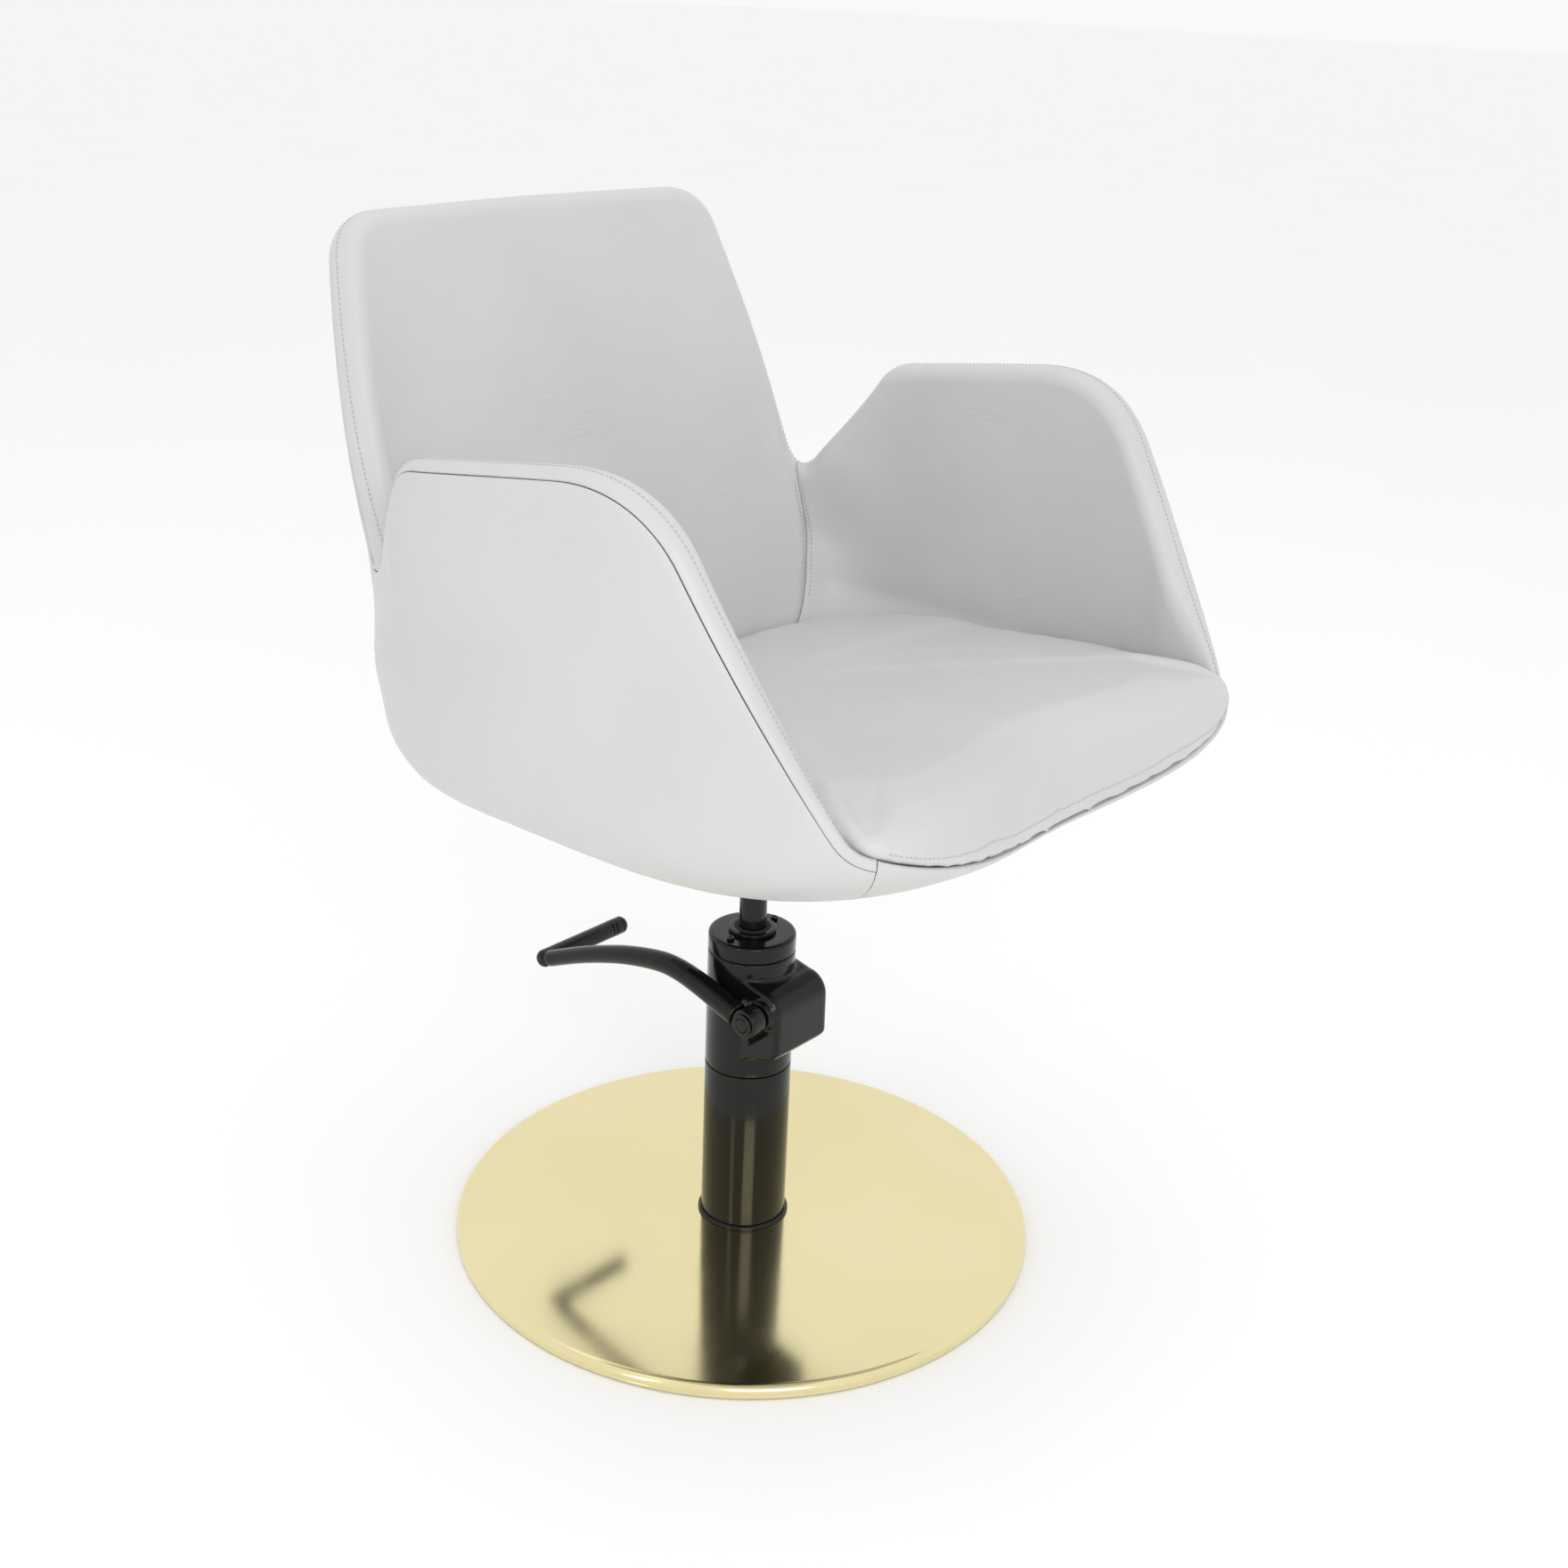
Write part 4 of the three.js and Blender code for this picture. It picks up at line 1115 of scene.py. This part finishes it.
def hex_screw(name, node, radius):
    """Cap-head screw with a hexagon recess in its top."""
    x, y, _ = middle(node)
    low, top = low_corner(node).z, high_corner(node).z
    sides, recess, depth = 48, 0.5 * radius, 0.6 * (top - low)
    rings = [
        (0.985 * radius, low), (radius, low + 0.1 * (top - low)),
        (radius, top - 0.16 * radius), (0.88 * radius, top),
    ]
    vertices = []
    for r, z in rings:
        vertices += [(x + r * math.cos(2 * math.pi * k / sides), y + r * math.sin(2 * math.pi * k / sides), z)
                     for k in range(sides)]
    for z in (top, top - depth):
        for k in range(sides):
            angle = 2 * math.pi * k / sides
            reach_out = recess * math.cos(math.pi / 6) / math.cos((angle % (math.pi / 3)) - math.pi / 6)
            vertices.append((x + reach_out * math.cos(angle), y + reach_out * math.sin(angle), z))
    count = len(rings) + 2
    faces = rings_faces(count, sides) + end_caps(count, sides)
    mesh_piece(name, vertices, faces, "base", [node], math.radians(30))


def make_casting():
    """Pump body: a round head blended into the box that carries the pedal's pivot."""
    low, top = low_corner("pump_body"), high_corner("pump_body")
    radius = high_corner("column_tube").x
    head = [(0, low.z, 0), (radius, low.z, 1.5), (radius, top.z, 1.0), (0, top.z, 0)]
    casting = turned("pump_casting", head, "base", ["pump_body"], segments=128)
    bm = bmesh.new()
    bm.from_mesh(casting.data)
    _, pivot_y, pivot_z = middle("pivot_shaft")
    left, right = low_corner("pivot_bush_left").x, high_corner("pivot_bush_right").x
    outline = [
        (-12 * MM, low.z + 18 * MM), (low.y + 5 * MM, low.z + 33 * MM),
        (low.y, low.z + 39 * MM), (low.y, pivot_z),
    ]
    crown = 22 * MM
    for k in range(1, 9):
        turn = math.radians(180 - 90 * k / 8)
        outline.append((low.y + crown + crown * math.cos(turn), pivot_z + crown * math.sin(turn)))
    outline.append((-18 * MM, pivot_z + crown + 5 * MM))
    outline.append((-6 * MM, pivot_z + crown + 8 * MM))
    inset = [(left, 3.0 * MM), (left + 2.2 * MM, 0.8 * MM), (left + 5.5 * MM, 0), (right - 5.5 * MM, 0),
             (right - 2.2 * MM, 0.8 * MM), (right, 3.0 * MM)]
    heart = Vector((-30 * MM, pivot_z - 6 * MM))
    rings = []
    for x, shrink in inset:
        ring = []
        for y, z in outline:
            away = Vector((y, z)) - heart
            y2, z2 = heart + away * (1 - shrink / away.length)
            ring.append(bm.verts.new((x, y2, z2)))
        rings.append(ring)
    for a, b in zip(rings, rings[1:]):
        for i in range(len(a)):
            j = (i + 1) % len(a)
            bm.faces.new((a[i], a[j], b[j], b[i]))
    bm.faces.new(rings[0])
    bm.faces.new(rings[-1][::-1])
    sideways = Matrix.Rotation(-math.pi / 2, 4, "Y")
    boss_place = Matrix.Translation((left - 1.5 * MM, pivot_y, pivot_z)) @ sideways
    bmesh.ops.create_cone(
        bm, cap_ends=True, segments=48, radius1=15 * MM, radius2=13.5 * MM, depth=9 * MM, matrix=boss_place)
    bmesh.ops.recalc_face_normals(bm, faces=bm.faces)
    bm.to_mesh(casting.data)
    bm.free()
    remeshed(casting, 1.3 * MM, 5)
    shade_smooth(casting.data)


def tube_along(name, points, radii, body, node, sides=32):
    """Round bar along a smooth line through these points, with softly domed ends; radii at start and end."""
    line = smooth_line(points, 14)
    travelled = distances(line)
    rounding = 1.2 * MM
    stations = [(0.0, 0.86), (0.25 * rounding, 0.95), (rounding, 1.0)]
    stations += [(s, 1.0) for s in np.linspace(4 * MM, travelled[-1] - 4 * MM, 90)]
    stations += [(travelled[-1] - d, g) for d, g in ((rounding, 1.0), (0.25 * rounding, 0.95), (0.0, 0.86))]
    vertices = []
    for s, girth in stations:
        behind, at, ahead = [Vector(at_distance(s + step, travelled, line)) for step in (-MM, 0, MM)]
        run = (ahead - behind).normalized()
        side = Vector((1, 0, 0))
        up = run.cross(side).normalized()
        radius = radii[0] + (radii[1] - radii[0]) * eased(s / travelled[-1])
        for k in range(sides):
            turn = 2 * math.pi * k / sides
            vertices.append(at + (side * math.cos(turn) + up * math.sin(turn)) * radius * girth)
    faces = rings_faces(len(stations), sides) + end_caps(len(stations), sides)
    mesh_piece(name, vertices, faces, body, [node], math.radians(50))


def smooth_line(points, steps):
    """Catmull-Rom line through the points."""
    p = np.array([points[0], *points, points[-1]], float)
    line = []
    for a, b, c, d in zip(p, p[1:], p[2:], p[3:]):
        for k in range(steps):
            t = k / steps
            square, cube = 2 * a - 5 * b + 4 * c - d, 3 * b - a - 3 * c + d
            line.append(0.5 * (2 * b + (c - a) * t + square * t ** 2 + cube * t ** 3))
    line.append(p[-1])
    return np.array(line)


LEVER_RADII = (11 * MM, 8.2 * MM)  # at the hub and at the foot bar
HUB_RADIUS, PIN_RADIUS, CLIP_RADIUS = 14 * MM, 7 * MM, 10.5 * MM


def make_pedal():
    axis = (0, *middle("pivot_shaft")[1:])
    lever_x = middle("pedal_arm")[0]
    bar_axis = (0, *middle("foot_bar")[1:])
    bar_low, bar_high = low_corner("foot_bar"), high_corner("foot_bar")
    bar_radius = (bar_high.z - bar_low.z) / 2
    # The lever's route from the hub to the foot bar, as y and z in millimetres.
    route = [(-31.4, 260), (-16, 265), (12, 274), (40, 280), (68, 280), (114, 270), (165, 252), (215.2, 230)]
    line = [(lever_x, y * MM, z * MM) for y, z in route]
    tube_along("pedal_lever", line, LEVER_RADII, "pedal", "pedal_arm")
    hub_low, hub_high = span("pedal_hub", "x")
    bore = PIN_RADIUS + 0.3 * MM
    hub = [(bore, hub_low, 0), (HUB_RADIUS, hub_low, 2), (HUB_RADIUS, hub_high, 2), (bore, hub_high, 0)]
    turned("lever_hub", hub, "pedal", ["pedal_hub"], axis, "x")
    shaft_low, shaft_high = span("pivot_shaft", "x")
    chamfered = PIN_RADIUS - 1.2 * MM
    shaft = [
        (0, shaft_low, 0), (chamfered, shaft_low, 0.5), (PIN_RADIUS, shaft_low + 1.2 * MM, 0.4),
        (PIN_RADIUS, shaft_high - 1.2 * MM, 0.4), (chamfered, shaft_high, 0.5), (0, shaft_high, 0),
    ]
    turned("pivot_pin", shaft, "pedal", ["pivot_shaft"], axis, "x")
    for side in ("left", "right"):
        low, high = span(f"circlip_{side}", "x")
        clip = [(bore, low, 0), (CLIP_RADIUS, low, 0.4), (CLIP_RADIUS, high, 0.4), (bore, high, 0)]
        turned(f"pin_clip_{side}", clip, "pedal", [f"circlip_{side}"], axis, "x")
    half = bar_high.x
    grooves = [(0, -half, 0), (bar_radius, -half, 0.5)]
    for centre in (-0.8, -0.7, 0.7, 0.8):
        at = centre * half
        grooves += [(bar_radius, at - 1.4 * MM, 0.3), (bar_radius - 0.7 * MM, at, 0.6),
                    (bar_radius, at + 1.4 * MM, 0.3)]
    grooves += [(bar_radius, half, 0.5), (0, half, 0)]
    turned("foot_rest_bar", grooves, "pedal", ["foot_bar"], bar_axis, "x")
    for side in ("right", "left"):
        low, high = span(f"foot_cap_{side}", "x")
        flat, tip = (low, high) if high > 0 else (high, low)
        reach_out = tip - flat
        cap = [(0, flat, 0), (bar_radius, flat, 0.3), (bar_radius, flat + 0.3 * reach_out, 1)]
        cap += [(0.8 * bar_radius, flat + 0.75 * reach_out, 1.5), (0.4 * bar_radius, tip, 1.5), (0, tip, 0)]
        turned(f"foot_bar_end_{side}", cap, "pedal", [f"foot_cap_{side}"], bar_axis, "x")


make_base_disc()
make_column()
make_rod()
make_pump_top()
make_casting()
make_pedal()
